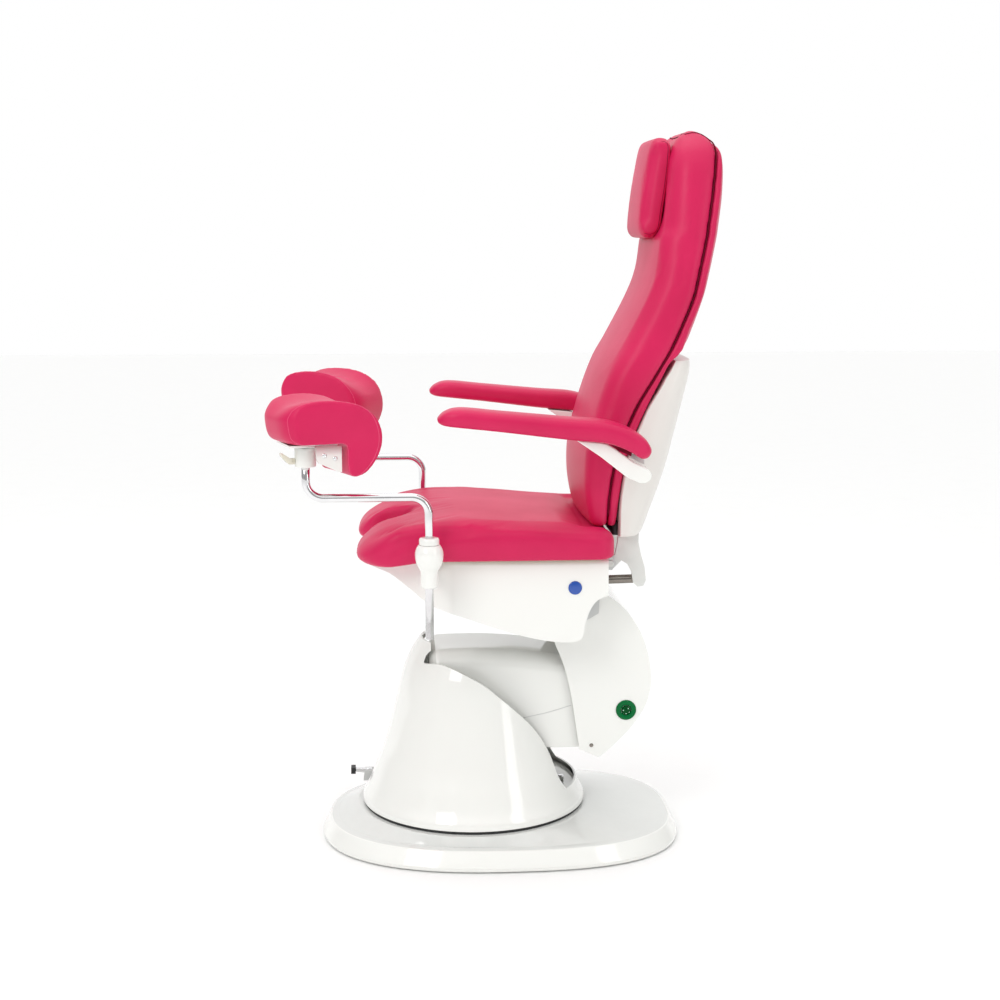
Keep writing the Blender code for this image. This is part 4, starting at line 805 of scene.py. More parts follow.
def makeCrutch(sign, tag):
    s, low = crutchPad, tag.lower()
    half, middle = s["half"], s["middle"]
    bm = slab([(x, -half, z) for x, z in roundLoop(s["side"], 200)], (0, 2 * half, 0))
    bm = remeshed(bm, s["rough"])
    level, run = s["dipFrom"]
    for v in bm.verts:
        t = v.co.y / half
        v.co.z -= s["dip"] * (1 - t * t) * clamped((v.co.z - level) / run)
        front, rear, fall = s["outer" if t * sign > 0 else "inner"]
        tuck = t ** 4 * (front if v.co.x < middle else rear)
        v.co.x += (middle - v.co.x) * tuck + s["skew"] * sign * v.co.y
        fall -= s["farRise"] if sign > 0 else 0.0
        v.co.z -= max(0.0, v.co.z - s["fallFrom"]) * fall * abs(t) ** 3
    bmesh.ops.transform(bm, verts=bm.verts, matrix=splayTurn(sign))
    return stuffed(bm, "crutchPad" + tag, "crutch_pad_" + low, "crutch_pad_" + low,
                   lambda co: co.z < s["held"], **s["stuffing"])


headPiece = makeHead()
crutchPieces = {}
for sign, tag in bothSides:
    makeArmPad(sign, tag)
    crutchPieces[sign] = makeCrutch(sign, tag)

# white mouldings


def worked(obj, operation, *others):
    # unites other closed skins with the piece, or takes them out of it
    for bm in others:
        mesh = bpy.data.meshes.new("tool")
        bm.to_mesh(mesh)
        bm.free()
        tool = bpy.data.objects.new("tool", mesh)
        scene.collection.objects.link(tool)
        modify(obj, "BOOLEAN", operation=operation, object=tool, solver="EXACT")
        baked(obj)
        bpy.data.objects.remove(tool)
        bpy.data.meshes.remove(mesh)


def carve(obj, cutter):
    worked(obj, "DIFFERENCE", cutter)


def joined(obj, *others):
    worked(obj, "UNION", *others)


def turnedSkin(profile, centre, axis="Z", steps=64):
    # a closed outline of (radius, height) pairs spun about an axis through the centre
    bm = bmesh.new()
    verts = [bm.verts.new((r, 0.0, h)) for r, h in profile]
    for a, b in zip(verts, verts[1:] + verts[:1]):
        bm.edges.new((a, b))
    bmesh.ops.spin(bm, geom=bm.verts[:] + bm.edges[:], cent=(0, 0, 0), axis=(0, 0, 1), dvec=(0, 0, 0),
                   angle=2 * math.pi, steps=steps, use_merge=True)
    bmesh.ops.remove_doubles(bm, verts=bm.verts, dist=1e-6)
    bmesh.ops.recalc_face_normals(bm, faces=bm.faces)
    if axis == "Y":
        bmesh.ops.rotate(bm, verts=bm.verts, cent=(0, 0, 0), matrix=Matrix.Rotation(-math.pi / 2, 3, "X"))
    elif axis == "X":
        bmesh.ops.rotate(bm, verts=bm.verts, cent=(0, 0, 0), matrix=Matrix.Rotation(math.pi / 2, 3, "Y"))
    bmesh.ops.translate(bm, verts=bm.verts, vec=centre)
    return bm


def eased(obj, width, segments=2, angle=35.0):
    # rounds the edges that are sharper than the angle and evens the shading
    modify(obj, "BEVEL", width=width, segments=segments, limit_method="ANGLE",
           angle_limit=math.radians(angle), profile=0.5, miter_outer="MITER_ARC")
    modify(obj, "WEIGHTED_NORMAL", keep_sharp=True, weight=60)
    baked(obj)
    for face in obj.data.polygons:
        face.use_smooth = True
    return obj


def placed(obj, matrix):
    # turns and shifts the mesh itself, so that the piece stays at the origin
    bm = bmesh.new()
    bm.from_mesh(obj.data)
    bmesh.ops.transform(bm, verts=bm.verts, matrix=matrix)
    bmesh.ops.recalc_face_normals(bm, faces=bm.faces)
    bm.to_mesh(obj.data)
    bm.free()


def settle(obj, body, slot, *replaced):
    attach(obj, body)
    if replaced:
        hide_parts(*replaced)
    return obj


baseCover = {
    "length": 0.746, "width": 0.550, "shift": 0.0555, "ringR": 0.2426, "rimTop": 0.0405,
    # roundness of the outline towards the front and the rear
    "squareness": (2.35, 2.7),
    # inset from the outline, share of the way to the ring under the bell, height
    "outer": [(0.0015, 0.0, 0.0030), (0.0003, 0.0, 0.0055), (0.0002, 0.0, 0.0085), (0.0012, 0.0, 0.0125),
              (0.0145, 0.0, 0.0365), (0.0162, 0.0, 0.0392), (0.0188, 0.0, 0.0408), (0.0225, 0.005, 0.0420),
              (0.0285, 0.03, 0.0433), (0.0285, 0.12, 0.0452), (0.0285, 0.36, 0.0502), (0.0285, 0.62, 0.0565),
              (0.0285, 0.86, 0.0625), (0.0285, 1.0, 0.0652)],
    # the way back underneath, as radius and height, then as inset and height
    "under": [(0.2386, 0.0655), (0.150, 0.0655), (0.150, 0.0615), (0.2246, 0.0615)],
    "inside": [(0.036, 0.033), (0.033, 0.0125), (0.0110, 0.0125), (0.0105, 0.0030)],
}


def outlineR(theta, inset):
    s = baseCover
    a, b = s["length"] / 2 - inset, s["width"] / 2 - inset
    lo, hi, c, d = 0.0, 2.0, math.cos(theta), math.sin(theta)
    for k in range(34):
        r = (lo + hi) / 2
        u, v = (r * c - s["shift"]) / a, r * d / b
        n = s["squareness"][u > 0]
        lo, hi = (lo, r) if abs(u) ** n + abs(v) ** n > 1 else (r, hi)
    return lo


def makeBaseCover():
    s = baseCover
    rows = [between(s["outer"], i / 65) for i in range(66)] + s["under"] + s["inside"]
    count, inside = len(rows), len(rows) - len(s["inside"])

    def place(u, v):
        theta = 2 * math.pi * u
        k = int(round(v * count)) % count
        r, z = rows[k][0], rows[k][-1]
        if len(rows[k]) == 3:
            r = outlineR(theta, r)
            r += (s["ringR"] - r) * clamped(rows[k][1])
        elif k >= inside:
            r = outlineR(theta, r)
        return Vector((r * math.cos(theta), r * math.sin(theta), z))
    obj = toObject(skin(200, count, place), "baseCover", "base", angle=40)
    # the slanted rim is glossier, and its lighter colour against the darker top is painted light and shade
    obj.data.materials.append(finishes["white"])
    for face in obj.data.polygons:
        if face.center.z < s["rimTop"]:
            face.material_index = 1
    return settle(obj, "base", "white_base", "base_cover")


bell = {
    "foot": 0.072, "radius": 0.2346, "wall": 0.004, "pivot": (-0.070, 0.376), "nose": 0.036,
    "rise": [(0.0, 0.996), (0.004, 1.000), (0.012, 0.990), (0.032, 0.944), (0.065, 0.889), (0.115, 0.807),
             (0.189, 0.720), (0.245, 0.664), (0.284, 0.618), (0.315, 0.560), (0.337, 0.503), (0.346, 0.470)],
    "arc": [(-0.103, 0.3800), (-0.070, 0.3835), (-0.031, 0.371), (0.012, 0.349), (0.044, 0.323),
            (0.079, 0.291), (0.106, 0.263), (0.130, 0.231), (0.149, 0.196), (0.161, 0.166), (0.172, 0.138),
            (0.186, 0.116)],
    # the cut goes on past the bell
    "beyond": [(0.40, 0.112), (0.40, 0.60), (-0.0905, 0.60)],
}


def makeBell():
    s = bell
    rise = [(s["radius"] * k, s["foot"] + h) for h, k in smoothLine(s["rise"], 56)]
    line = rise + [(r - s["wall"], z) for r, z in reversed(rise)]
    obj = toObject(turnedSkin(line, (0, 0, 0), "Z", 160), "bell", "white")
    px, pz = s["pivot"]
    nose = [(px + s["nose"] * math.cos(math.radians(t)), pz + s["nose"] * math.sin(math.radians(t)))
            for t in range(125, 175, 5)]
    cut = nose + smoothLine(s["arc"], 70) + s["beyond"]
    carve(obj, slab([(x, -0.4, z) for x, z in cut], (0, 0.8, 0)))
    eased(obj, 0.0011, 2, 40.0)
    return settle(obj, "pedestal", "white_gloss", "pedestal_shell")


def channelRing(x, half, top, low, wall, rad, shear, n=9):
    # inverted U section with round top corners, outside then inside
    def corner(h, z1, r, sign):
        return [(sign * (h - r + r * math.cos(math.pi / 2 * i / n)), z1 - r + r * math.sin(math.pi / 2 * i / n))
                for i in range(n + 1)]
    r0 = min(rad, half * 0.9, (top - low) * 0.8)
    r1 = max(r0 - wall, 0.002)
    outer = [(half, low)] + corner(half, top, r0, 1) + corner(half, top, r0, -1)[::-1] + [(-half, low)]
    inner = ([(half - wall, low)] + corner(half - wall, top - wall, r1, 1)
             + corner(half - wall, top - wall, r1, -1)[::-1] + [(-half + wall, low)])
    return [(x - shear * (z - armCover["level"]), y, z) for y, z in outer + inner[::-1]]


def channel(rings):
    count, steps = len(rings[0]), len(rings) - 1

    def place(u, v):
        return Vector(rings[int(round(v * steps))][int(round(u * count)) % count])
    bm = skin(count, steps, place)
    bmesh.ops.holes_fill(bm, edges=[e for e in bm.edges if e.is_boundary])
    bmesh.ops.recalc_face_normals(bm, faces=bm.faces)
    return bm


armCover = {
    # along, half width, top, lower edge
    "rows": [(-0.097, 0.052, 0.384, 0.368), (-0.093, 0.074, 0.393, 0.358), (-0.084, 0.089, 0.401, 0.348),
             (-0.070, 0.095, 0.405, 0.338), (0.000, 0.095, 0.4065, 0.276), (0.070, 0.095, 0.403, 0.222),
             (0.130, 0.095, 0.396, 0.200), (0.191, 0.095, 0.3885, 0.200)],
    "wall": 0.0035, "round": 0.034, "half": 0.095, "lowest": 0.2, "level": 0.389, "shear": (0.07, 0.113, 0.13),
    "seam": [(0.098, 0.2645), (0.150, 0.2755), (0.197, 0.2895)],
}


def makeArmCover():
    s = armCover
    rings = []
    for i in range(61):
        x, half, top, low = between(s["rows"], i / 60)
        start, run, most = s["shear"]
        shear = most * max(0.0, (x - start) / run)
        rings.append(channelRing(x, min(half, s["half"]), top, max(low, s["lowest"]), s["wall"], s["round"], shear))
    obj = toObject(channel(rings), "armCover", "white", angle=50)
    eased(obj, 0.0008, 2, 55.0)
    settle(obj, "lift_arm", "white_gloss", "arm_cover")
    for side, tag in bothSides:
        line = smoothLine([(x, side * (s["half"] + 0.0001), z) for x, z in s["seam"]], 24)
        settle(tube("armSeam" + tag, line, 0.0007, "steel", around=8),
               "lift_arm", "white_gloss")


carrier = {
    "front": [(0.205, 0.534), (0.172, 0.500), (0.158, 0.450), (0.160, 0.428), (0.180, 0.377), (0.192, 0.330),
              (0.200, 0.286), (0.207, 0.240), (0.213, 0.199)],
    "rear": [(0.253, 0.181), (0.275, 0.198), (0.310, 0.233), (0.334, 0.263), (0.350, 0.292), (0.359, 0.324),
             (0.3605, 0.348), (0.357, 0.378), (0.350, 0.410), (0.338, 0.443), (0.323, 0.469),
             (0.306, 0.492), (0.284, 0.512), (0.258, 0.528), (0.236, 0.534)],
    "half": 0.108, "wall": 0.004, "middle": (0.235, 0.35),
    # the hollow is open below and in front
    "openLow": [(0.08, 0.165), (0.240, 0.165)], "openTop": [(0.236, 0.60), (0.08, 0.60)],
}


def makeCarrier():
    s = carrier
    rear = smoothLine(s["rear"], 70)
    loop = smoothLine(s["front"], 40) + rear
    bm = slab([(x, -s["half"], z) for x, z in loop], (0, 2 * s["half"], 0))
    obj = toObject(bm, "carrierShell", "white")
    w = s["wall"]
    mx, mz = s["middle"]
    inner = []
    for x, z in rear[2:-2]:
        far = math.hypot(x - mx, z - mz)
        inner.append((x - (x - mx) / far * w, z - (z - mz) / far * w))
    hollow = s["openLow"] + inner + s["openTop"]
    carve(obj, slab([(x, w - s["half"], z) for x, z in hollow], (0, 2 * (s["half"] - w), 0)))
    eased(obj, 0.0030, 3, 50.0)
    return settle(obj, "seat_carrier", "white_gloss", "carrier_shell")


seatShell = {
    # along, half width, lower edge
    "skirt": [(-0.212, 0.112, 0.593), (-0.198, 0.130, 0.590), (-0.171, 0.152, 0.582), (-0.134, 0.170, 0.556),
              (-0.097, 0.184, 0.527), (-0.060, 0.196, 0.512), (-0.027, 0.203, 0.502), (0.068, 0.211, 0.471),
              (0.147, 0.213, 0.454), (0.200, 0.213, 0.456), (0.211, 0.213, 0.490), (0.221, 0.213, 0.518),
              (0.235, 0.213, 0.536), (0.256, 0.213, 0.545)],
    "top": 0.619, "wall": 0.004, "round": 0.012, "half": 0.213, "nose": (-0.155, 0.087, 0.0315),
    "slot": (-0.1075, -0.0885, 0.589, 0.609),
}


def makeSeatShell():
    s = seatShell
    rings = []
    for i in range(105):
        x, half, low = between(s["skirt"], i / 104)
        start, run, most = s["nose"]
        fall = most * max(0.0, (start - x) / run) ** 2
        rings.append(channelRing(x, min(half, s["half"]), s["top"] - fall, low, s["wall"], s["round"], 0.0, 6))
    obj = toObject(channel(rings), "seatShell", "white", angle=50)
    x0, x1, z0, z1 = s["slot"]
    carve(obj, slab([(x0, -0.4, z0), (x1, -0.4, z0), (x1, -0.4, z1), (x0, -0.4, z1)], (0, 0.8, 0)))
    eased(obj, 0.0012, 2, 50.0)
    return settle(obj, "seat", "white_gloss", "seat_shell")


backShell = {
    # height, rear face, width share
    "rows": [(0.658, 0.330, 0.965), (0.664, 0.336, 0.980), (0.676, 0.342, 0.985), (0.705, 0.354, 0.985),
             (0.748, 0.371, 0.985), (0.795, 0.387, 0.985), (0.855, 0.402, 0.980), (0.940, 0.421, 0.965),
             (0.985, 0.429, 0.930), (1.004, 0.428, 0.890)],
    "section": [(0.0, 0.0), (0.0, 0.30), (0.0, 0.60), (0.0, 0.85), (0.02, 0.985), (0.10, 1.0), (0.40, 0.985),
                (0.72, 0.90), (0.90, 0.72), (0.975, 0.38), (1.0, 0.0)],
    "half": 0.195, "behindSeam": 0.0216, "foot": (0.695, 0.2796),
}


def makeBackShell():
    s = backShell

    def place(u, v):
        z, rear, k = between(s["rows"], v)
        level, foot = s["foot"]
        front = foot if z < level else spineAt(z)[2] + s["behindSeam"]
        half = s["half"] * k
        u, side = folded(u)
        deep, wide = between(s["section"], u)
        return Vector((front + (rear - front) * max(deep, 0.0), side * half * wide, z))
    bm = skin(120, 60, place)
    bmesh.ops.holes_fill(bm, edges=[e for e in bm.edges if e.is_boundary])
    bmesh.ops.recalc_face_normals(bm, faces=bm.faces)
    obj = toObject(bm, "backShell", "shell", angle=55)
    eased(obj, 0.0035, 3, 55.0)
    return settle(obj, "backrest", "white_back", "back_shell")


makeBaseCover()
makeBell()
makeArmCover()
makeCarrier()
makeSeatShell()
makeBackShell()
print("mouldings made")

# turned and bent pieces


def block(x0, x1, y0, y1, z0, z1):
    return slab([(x0, y0, z0), (x1, y0, z0), (x1, y1, z0), (x0, y1, z0)], (0, 0, z1 - z0))


def drum(radius, half, z, steps):
    # a solid cylinder across the chair
    return turnedSkin([(0.0, -half), (radius, -half), (radius, half), (0.0, half)], (0, 0, z), "Y", steps)


def bentLine(path, bend, steps=14):
    # straight runs joined by arcs of one radius at square corners
    line = [Vector(path[0])]
    for a, b, c in zip(path, path[1:], path[2:]):
        a, b, c = Vector(a), Vector(b), Vector(c)
        u, v = (b - a).normalized(), (c - b).normalized()
        centre = b - u * bend + v * bend
        for i in range(steps + 1):
            t = math.pi / 2 * i / steps
            line.append(centre - v * (bend * math.cos(t)) + u * (bend * math.sin(t)))
    line.append(Vector(path[-1]))
    return line


def softened(node, name, width, body, slot, material, angle=38.0, segments=2):
    # the CAD piece's own form with its sharp edges eased
    source = nodes[node]
    bm = bmesh.new()
    bm.from_mesh(source.data)
    bmesh.ops.transform(bm, verts=bm.verts, matrix=source.matrix_world)
    bmesh.ops.remove_doubles(bm, verts=bm.verts, dist=1e-5)
    bmesh.ops.dissolve_limit(bm, angle_limit=math.radians(0.8), verts=bm.verts, edges=bm.edges)
    bmesh.ops.recalc_face_normals(bm, faces=bm.faces)
    obj = toObject(bm, name, material)
    eased(obj, width, segments, angle)
    return settle(obj, body, slot, node)


legs = {
    "x": -0.098, "y": 0.286, "hold": -0.329, "rod": 0.008, "bend": 0.033, "low": 0.482, "level": 0.757,
    "high": 0.8372, "seat": 0.6285,
    "clamp": [(0.0140, -0.046), (0.0158, -0.0445), (0.0165, -0.040), (0.0165, -0.018), (0.0185, -0.011),
              (0.0225, -0.004), (0.0258, 0.005), (0.0274, 0.015), (0.0268, 0.024), (0.0240, 0.032),
              (0.0205, 0.037)],
    "collar": [(0.0125, -0.076), (0.0125, 0.0), (0.0185, 0.0), (0.0195, 0.001), (0.0195, 0.0095),
               (0.0185, 0.0122), (0.0170, 0.013)],
    "holder": [(0.0, 0.8378), (0.0083, 0.8378), (0.0083, 0.8175), (0.0182, 0.8175), (0.0195, 0.8183),
               (0.0200, 0.8200), (0.0200, 0.8520), (0.0192, 0.8545), (0.0172, 0.8558), (0.0, 0.8558)],
    "tilt": 0.853, "collarLift": 0.0373, "collarBore": 0.0084, "clampBore": 0.0129,
    # the clamp's tongue into the seat: from and to off the rod, half width, heights
    "tongue": (0.0297, 0.014, 0.008, 0.5907, 0.6067),
    "knuckle": (0.0055, 0.006, 0.843), "barrel": 0.0058, "pin": (0.0030, 0.013),
    "leverBore": [(0.0, -0.030), (0.0036, -0.030), (0.0036, -0.011), (0.0, -0.011)],
}


wing = {
    "hub": [(0.0, -0.0325), (0.0050, -0.0325), (0.0060, -0.0315), (0.0060, -0.0210), (0.0052, -0.0203),
            (0.0032, -0.0203), (0.0032, -0.0120), (0.0, -0.0120)],
    "blade": [(-0.0260, 0.8245), (-0.0285, 0.8345), (-0.0445, 0.8450), (-0.0475, 0.8435), (-0.0465, 0.8390),
              (-0.0360, 0.8265)],
    "half": 0.0100, "axis": 0.829,
}
bracket = {
    "plate": (-0.042, 0.049, 0.050, 0.8598, 0.8638),
    "cheek": [(0.0070, 0.8615), (0.0560, 0.8615), (0.0560, 0.8120), (0.0500, 0.8120), (0.0120, 0.8300),
              (0.0075, 0.8370)],
    "screw": [(0.0, 0.0), (0.0042, 0.0), (0.0042, 0.0010), (0.0034, 0.0018), (0.0020, 0.0021), (0.0016, 0.0008),
              (0.0, 0.0008)],
    "line": 0.0515, "thick": 0.0025, "ears": (0.0066, -0.0106),
    "ear": (0.0058, 0.004, 0.002), "eye": (0.0034, 0.0060), "screws": [(0.0225, 0.8440), (0.0430, 0.8380)],
}


def makeBracket(sign, tag):
    # plate under the pad with its pivot ears, and the cheek with two screws that holds the pad's flap
    s = bracket
    x0, x1, half, z0, z1 = s["plate"]
    obj = toObject(block(x0, x1, -half, half, z0, z1), "crutchBracket" + tag, "white")
    y = sign * s["line"]
    joined(obj, slab([(x, y - s["thick"], z) for x, z in s["cheek"]], (0, 2 * s["thick"], 0)))
    p = legs["tilt"]
    (wide, thick, sunk), (bore, outer) = s["ear"], s["eye"]
    for q in s["ears"]:
        ring = [(bore, q), (outer, q), (outer, q + thick), (bore, q + thick)]
        joined(obj, block(-wide, wide, q, q + thick, p, z0 + sunk), turnedSkin(ring, (0, 0, p), "Y", 36))
    pieces = [obj]
    for i, (x, z) in enumerate(s["screws"]):
        ring = [(r, y + sign * (s["thick"] + h)) for r, h in s["screw"]]
        pieces.append(toObject(turnedSkin(ring, (x, 0, z), "Y", 32), "crutchScrew%s%d" % (tag, i + 1), "chrome",
                               angle=40))
    low = tag.lower()
    for piece in pieces:
        placed(piece, splayTurn(sign))
    eased(obj, 0.0008, 2, 45.0)
    settle(obj, "crutch_pad_" + low, "bracket_grey", "crutch_bracket_" + low)
    for piece in pieces[1:]:
        settle(piece, "crutch_pad_" + low, "chrome")


def makeLeg(sign, tag):
    s = legs
    low = tag.lower()
    y = sign * s["y"]
    path = [(s["x"], y, s["low"]), (s["x"], y, s["level"]), (s["hold"], y, s["level"]), (s["hold"], y, s["high"])]
    settle(tube("legRod" + tag, bentLine(path, s["bend"]), s["rod"], "chrome", around=32),
           "leg_rod_" + low, "chrome", "leg_rod_" + low)
    z, bore = s["seat"] + s["collarLift"], s["collarBore"]
    ring = [(r, z + h) for r, h in s["collar"]]
    ring = [(bore, ring[0][1])] + ring + [(bore, ring[-1][1])]
    obj = toObject(turnedSkin(ring, (s["x"], y, 0.0)), "legCollar" + tag, "white", angle=40)
    settle(obj, "leg_swivel_" + low, "white_gloss", "leg_collar_" + low)
    z, bore = s["seat"], s["clampBore"]
    ring = smoothLine([(r, z + h) for r, h in s["clamp"]], 44)
    ring = [(bore, ring[0][1])] + ring + [(bore, ring[-1][1])]
    obj = toObject(turnedSkin(ring, (s["x"], y, 0.0)), "legClamp" + tag, "white")
    near, far, wide, z0, z1 = s["tongue"]
    reach = sorted((sign * (s["y"] - near), sign * (s["y"] - far)))
    joined(obj, block(s["x"] - wide, s["x"] + wide, *reach, z0, z1))
    eased(obj, 0.0010, 2, 45.0)
    settle(obj, "seat", "white_gloss", "leg_clamp_" + low)
    obj = toObject(turnedSkin(s["holder"], (0, 0, 0)), "crutchHolder" + tag, "white")
    p = s["tilt"]
    wide, thick, z0 = s["knuckle"]
    joined(obj, block(-wide, wide, -thick, thick, z0, p), drum(s["barrel"], thick, p, 40), drum(*s["pin"], p, 32))
    carve(obj, turnedSkin(s["leverBore"], (0, 0, wing["axis"]), "X", 32))
    placed(obj, splayTurn(sign))
    eased(obj, 0.0006, 2, 45.0)
    settle(obj, "crutch_holder_" + low, "white_gloss", "crutch_holder_" + low)
    makeBracket(sign, tag)


for sign, tag in bothSides:
    makeLeg(sign, tag)

button = {
    "at": (0.309, 0.281), "face": -0.108,
    "ring": [(0.0124, -0.0003), (0.0210, -0.0003), (0.0209, 0.0014), (0.0200, 0.0026), (0.0182, 0.0031),
             (0.0165, 0.0030), (0.0120, 0.0024), (0.0104, 0.0016), (0.0100, 0.0004), (0.0100, -0.0120),
             (0.0124, -0.0120)],
    "lens": [(0.0, 0.0066), (0.0032, 0.0064), (0.0060, 0.0057), (0.0083, 0.0044), (0.0094, 0.0026),
             (0.0096, 0.0005), (0.0096, -0.006), (0.0, -0.006)],
    "bead": [(0.0, 0.0), (0.0011, 0.0005), (0.0016, 0.0016), (0.0, 0.0016)],
    # across, up and out from the button's middle
    "glints": [(-0.0058, 0.0006, 0.0062), (0.0036, 0.0042, 0.0063), (-0.0004, -0.0060, 0.0061),
               (0.0056, -0.0034, 0.0058)],
}


def makeButton():
    x, z = button["at"]
    y = button["face"]
    ring = [(r, y - h) for r, h in button["ring"]]
    obj = toObject(turnedSkin(ring, (x, 0, z), "Y"), "buttonRing", "greenRing", angle=45)
    settle(obj, "seat_carrier", "green_plastic", "button_bezel")
    lens = [(r, y - h) for r, h in button["lens"]]
    obj = toObject(turnedSkin(lens, (x, 0, z), "Y"), "buttonLens", "green", angle=45)
    settle(obj, "stop_button", "green_plastic", "stop_button")
    # four pale beads on the lens are painted glints of the lamps
    for i, (dx, dz, out) in enumerate(button["glints"]):
        bead = [(r, y - out + h) for r, h in button["bead"]]
        obj = toObject(turnedSkin(bead, (x + dx, 0, z + dz), "Y", 20), "buttonGlint%d" % (i + 1), "glint")
        settle(obj, "stop_button", "green_plastic")


makeButton()

cap = {"at": (0.190, 0.562), "face": -0.213, "dome": [(0.0, -0.0003), (0.0135, -0.0003), (0.0135, 0.0012),
                                                      (0.0130, 0.0020), (0.0115, 0.0025), (0.0, 0.0027)]}
ring = [(r, cap["face"] - h) for r, h in cap["dome"]]
settle(toObject(turnedSkin(ring, (cap["at"][0], 0, cap["at"][1]), "Y"), "sideCap", "blue", angle=45),
       "seat", "blue_plastic", "seat_badge")
seal = [(0.2186, 0.0658), (0.2312, 0.0658), (0.2318, 0.0672), (0.2318, 0.0700), (0.2312, 0.0708), (0.2186, 0.0708)]
settle(toObject(turnedSkin(seal, (0, 0, 0), "Z", 160), "sealRing", "rubber", angle=45), "base",
       "black_rubber", "seal_ring")
print("turned pieces made")

# sewn seams, laid on the finished upholstery

seams = {
    "backTop": [(0.4560, 1.4330), (0.4470, 1.4400), (0.4370, 1.4440), (0.4260, 1.4440), (0.4150, 1.4415)],
    # from and to up the back, how far in from its rear and side, and the line over its top
    "backRun": (0.704, 1.4240), "backIn": (0.0006, 0.0085), "over": (0.003, 0.022, 1.55), "headIn": 0.0030,
    "backBead": 0.0014, "rim": 0.0009, "stitch": 0.0007,
    "head": [(0.3690, 1.4355), (0.3790, 1.4310), (0.3825, 1.4190), (0.3805, 1.3780), (0.3750, 1.3320),
             (0.3695, 1.2950), (0.3650, 1.2610), (0.3590, 1.2470), (0.3475, 1.2405), (0.3330, 1.2415)],
    "saddle": [(-0.0200, -0.052), (0.0100, -0.030), (0.0400, -0.006), (0.0600, 0.004), (0.0800, -0.002)],
}
bpy.context.view_layer.update()


def onSkin(obj, points, way, lift=0.0):
    # the points slid along a direction until they meet the piece
    out = []
    for p in points:
        hit, where, normal, index = obj.ray_cast(Vector(p) - way * 0.4, way)
        if hit:
            out.append(where + normal * lift)
    return out


def nearSkin(obj, points, lift=0.0):
    out = []
    for p in points:
        hit, where, normal, index = obj.closest_point_on_mesh(Vector(p))
        out.append(where + normal * lift)
    return out


def makeSeams():
    s = seams
    (low, high), (inset, sideIn), (ahead, aside, above) = s["backRun"], s["backIn"], s["over"]
    sides = {}
    for sign in (-1, 1):
        rear = []
        for i in range(60):
            z, front, seam, back, k = spineAt(low + (high - low) * i / 59)
            rear.append((seam - inset, sign * (backPad["half"] * k - sideIn), z))
        top = onSkin(backPiece, [(x, sign * 0.1, z) for x, z in smoothLine(s["backTop"], 24)],
                     Vector((0, -sign, 0)))
        sides[sign] = rear + [tuple(p) for p in top]
    start = sides[-1][-1]
    across = onSkin(backPiece, [(start[0] - ahead, (start[1] + aside) * (1 - i / 10), above) for i in range(21)],
                    Vector((0, 0, -1)))
    line = sides[-1] + [tuple(p) for p in across] + sides[1][::-1]
    settle(tube("backSeam", smoothLine(line, 320), s["backBead"], "vinylSeamShade", around=8), "backrest",
           "pink_vinyl")
    for sign, tag in bothSides:
        low = tag.lower()
        turn = splayTurn(sign)
        half = crutchPad["half"]
        # the rim beads and the stitch take the lighter pink as painted highlights
        for end in (-1, 1):
            loop = [turn @ Vector((x, end * half, z)) for x, z in roundLoop(crutchPad["side"], 90)]
            rim = [tuple(p) for p in nearSkin(crutchPieces[sign], loop, -0.0003)]
            settle(tube("crutchRim%s%d" % (tag, end + 2), rim, s["rim"], "vinylEdgeHighlight", closed=True, around=7),
                   "crutch_pad_" + low, "pink_vinyl")
        over = onSkin(crutchPieces[sign], [turn @ Vector((x, y, 0.95)) for x, y in smoothLine(s["saddle"], 30)],
                      Vector((0, 0, -1)), -0.0002)
        settle(tube("crutchStitch" + tag, [tuple(p) for p in over], s["rim"], "vinylEdgeHighlight", around=7),
               "crutch_pad_" + low, "pink_vinyl")
        # a dark bead along the headrest's rear edge and bottom: a seam, its dark colour partly painted contact
        # shade against the back
        loop = [(x - s["headIn"], sign * headPad["half"], z) for x, z in smoothLine(s["head"], 60)]
        rim = [tuple(p) for p in nearSkin(headPiece, loop, -0.0004)]
        settle(tube("headSeamAndShade" + tag, rim, s["stitch"], "vinylSeamShade", around=7), "headrest", "pink_vinyl")


makeSeams()
print("seams laid")

# levers, arm blades and the back rod

armBlade = {
    "finish": "white", "slot": "white_gloss", "span": (0.254, 0.302), "edge": 0.0030, "steps": 4,
    "replaces": ["armrest_tongue_"],
    "side": [(0.180, 0.8645), (0.2285, 0.8600), (0.240, 0.8568), (0.255, 0.8475), (0.289, 0.8225),
             (0.318, 0.8090), (0.3255, 0.7985), (0.3235, 0.7885), (0.314, 0.7820), (0.302, 0.7815),
             (0.279, 0.7915), (0.227, 0.8325)],
}
# a dark sheet under the arm pad's rear end: painted shade between the pad and the blade
armShadeFlap = {
    "finish": "vinylSeamShade", "slot": "pink_vinyl", "span": (0.272, 0.300), "edge": 0.0012, "steps": 2,
    "replaces": [],
    "side": [(0.2380, 0.8605), (0.2620, 0.8590), (0.2760, 0.8540), (0.2870, 0.8440), (0.2850, 0.8330),
             (0.2620, 0.8440)],
}
armLeaf = {
    "finish": "steel", "slot": "steel_painted", "span": (0.282, 0.2865), "edge": 0.0008, "steps": 2,
    "replaces": [],
    "side": [(0.2850, 0.8380), (0.2980, 0.8330), (0.3120, 0.8240), (0.3120, 0.8160), (0.3000, 0.8215),
             (0.2860, 0.8290)],
}
backRod = {
    "eye": (0.326, 0.563), "drive": (0.020, 0.553), "line": -0.136, "radius": 0.0088, "turn": 0.57,
    "inTube": 0.112, "neck": 0.0085, "chamfer": 0.001,
    "ring": [(0.0053, -0.0058), (0.0112, -0.0058), (0.0122, -0.0048), (0.0122, 0.0048), (0.0112, 0.0058),
             (0.0053, 0.0058)],
}


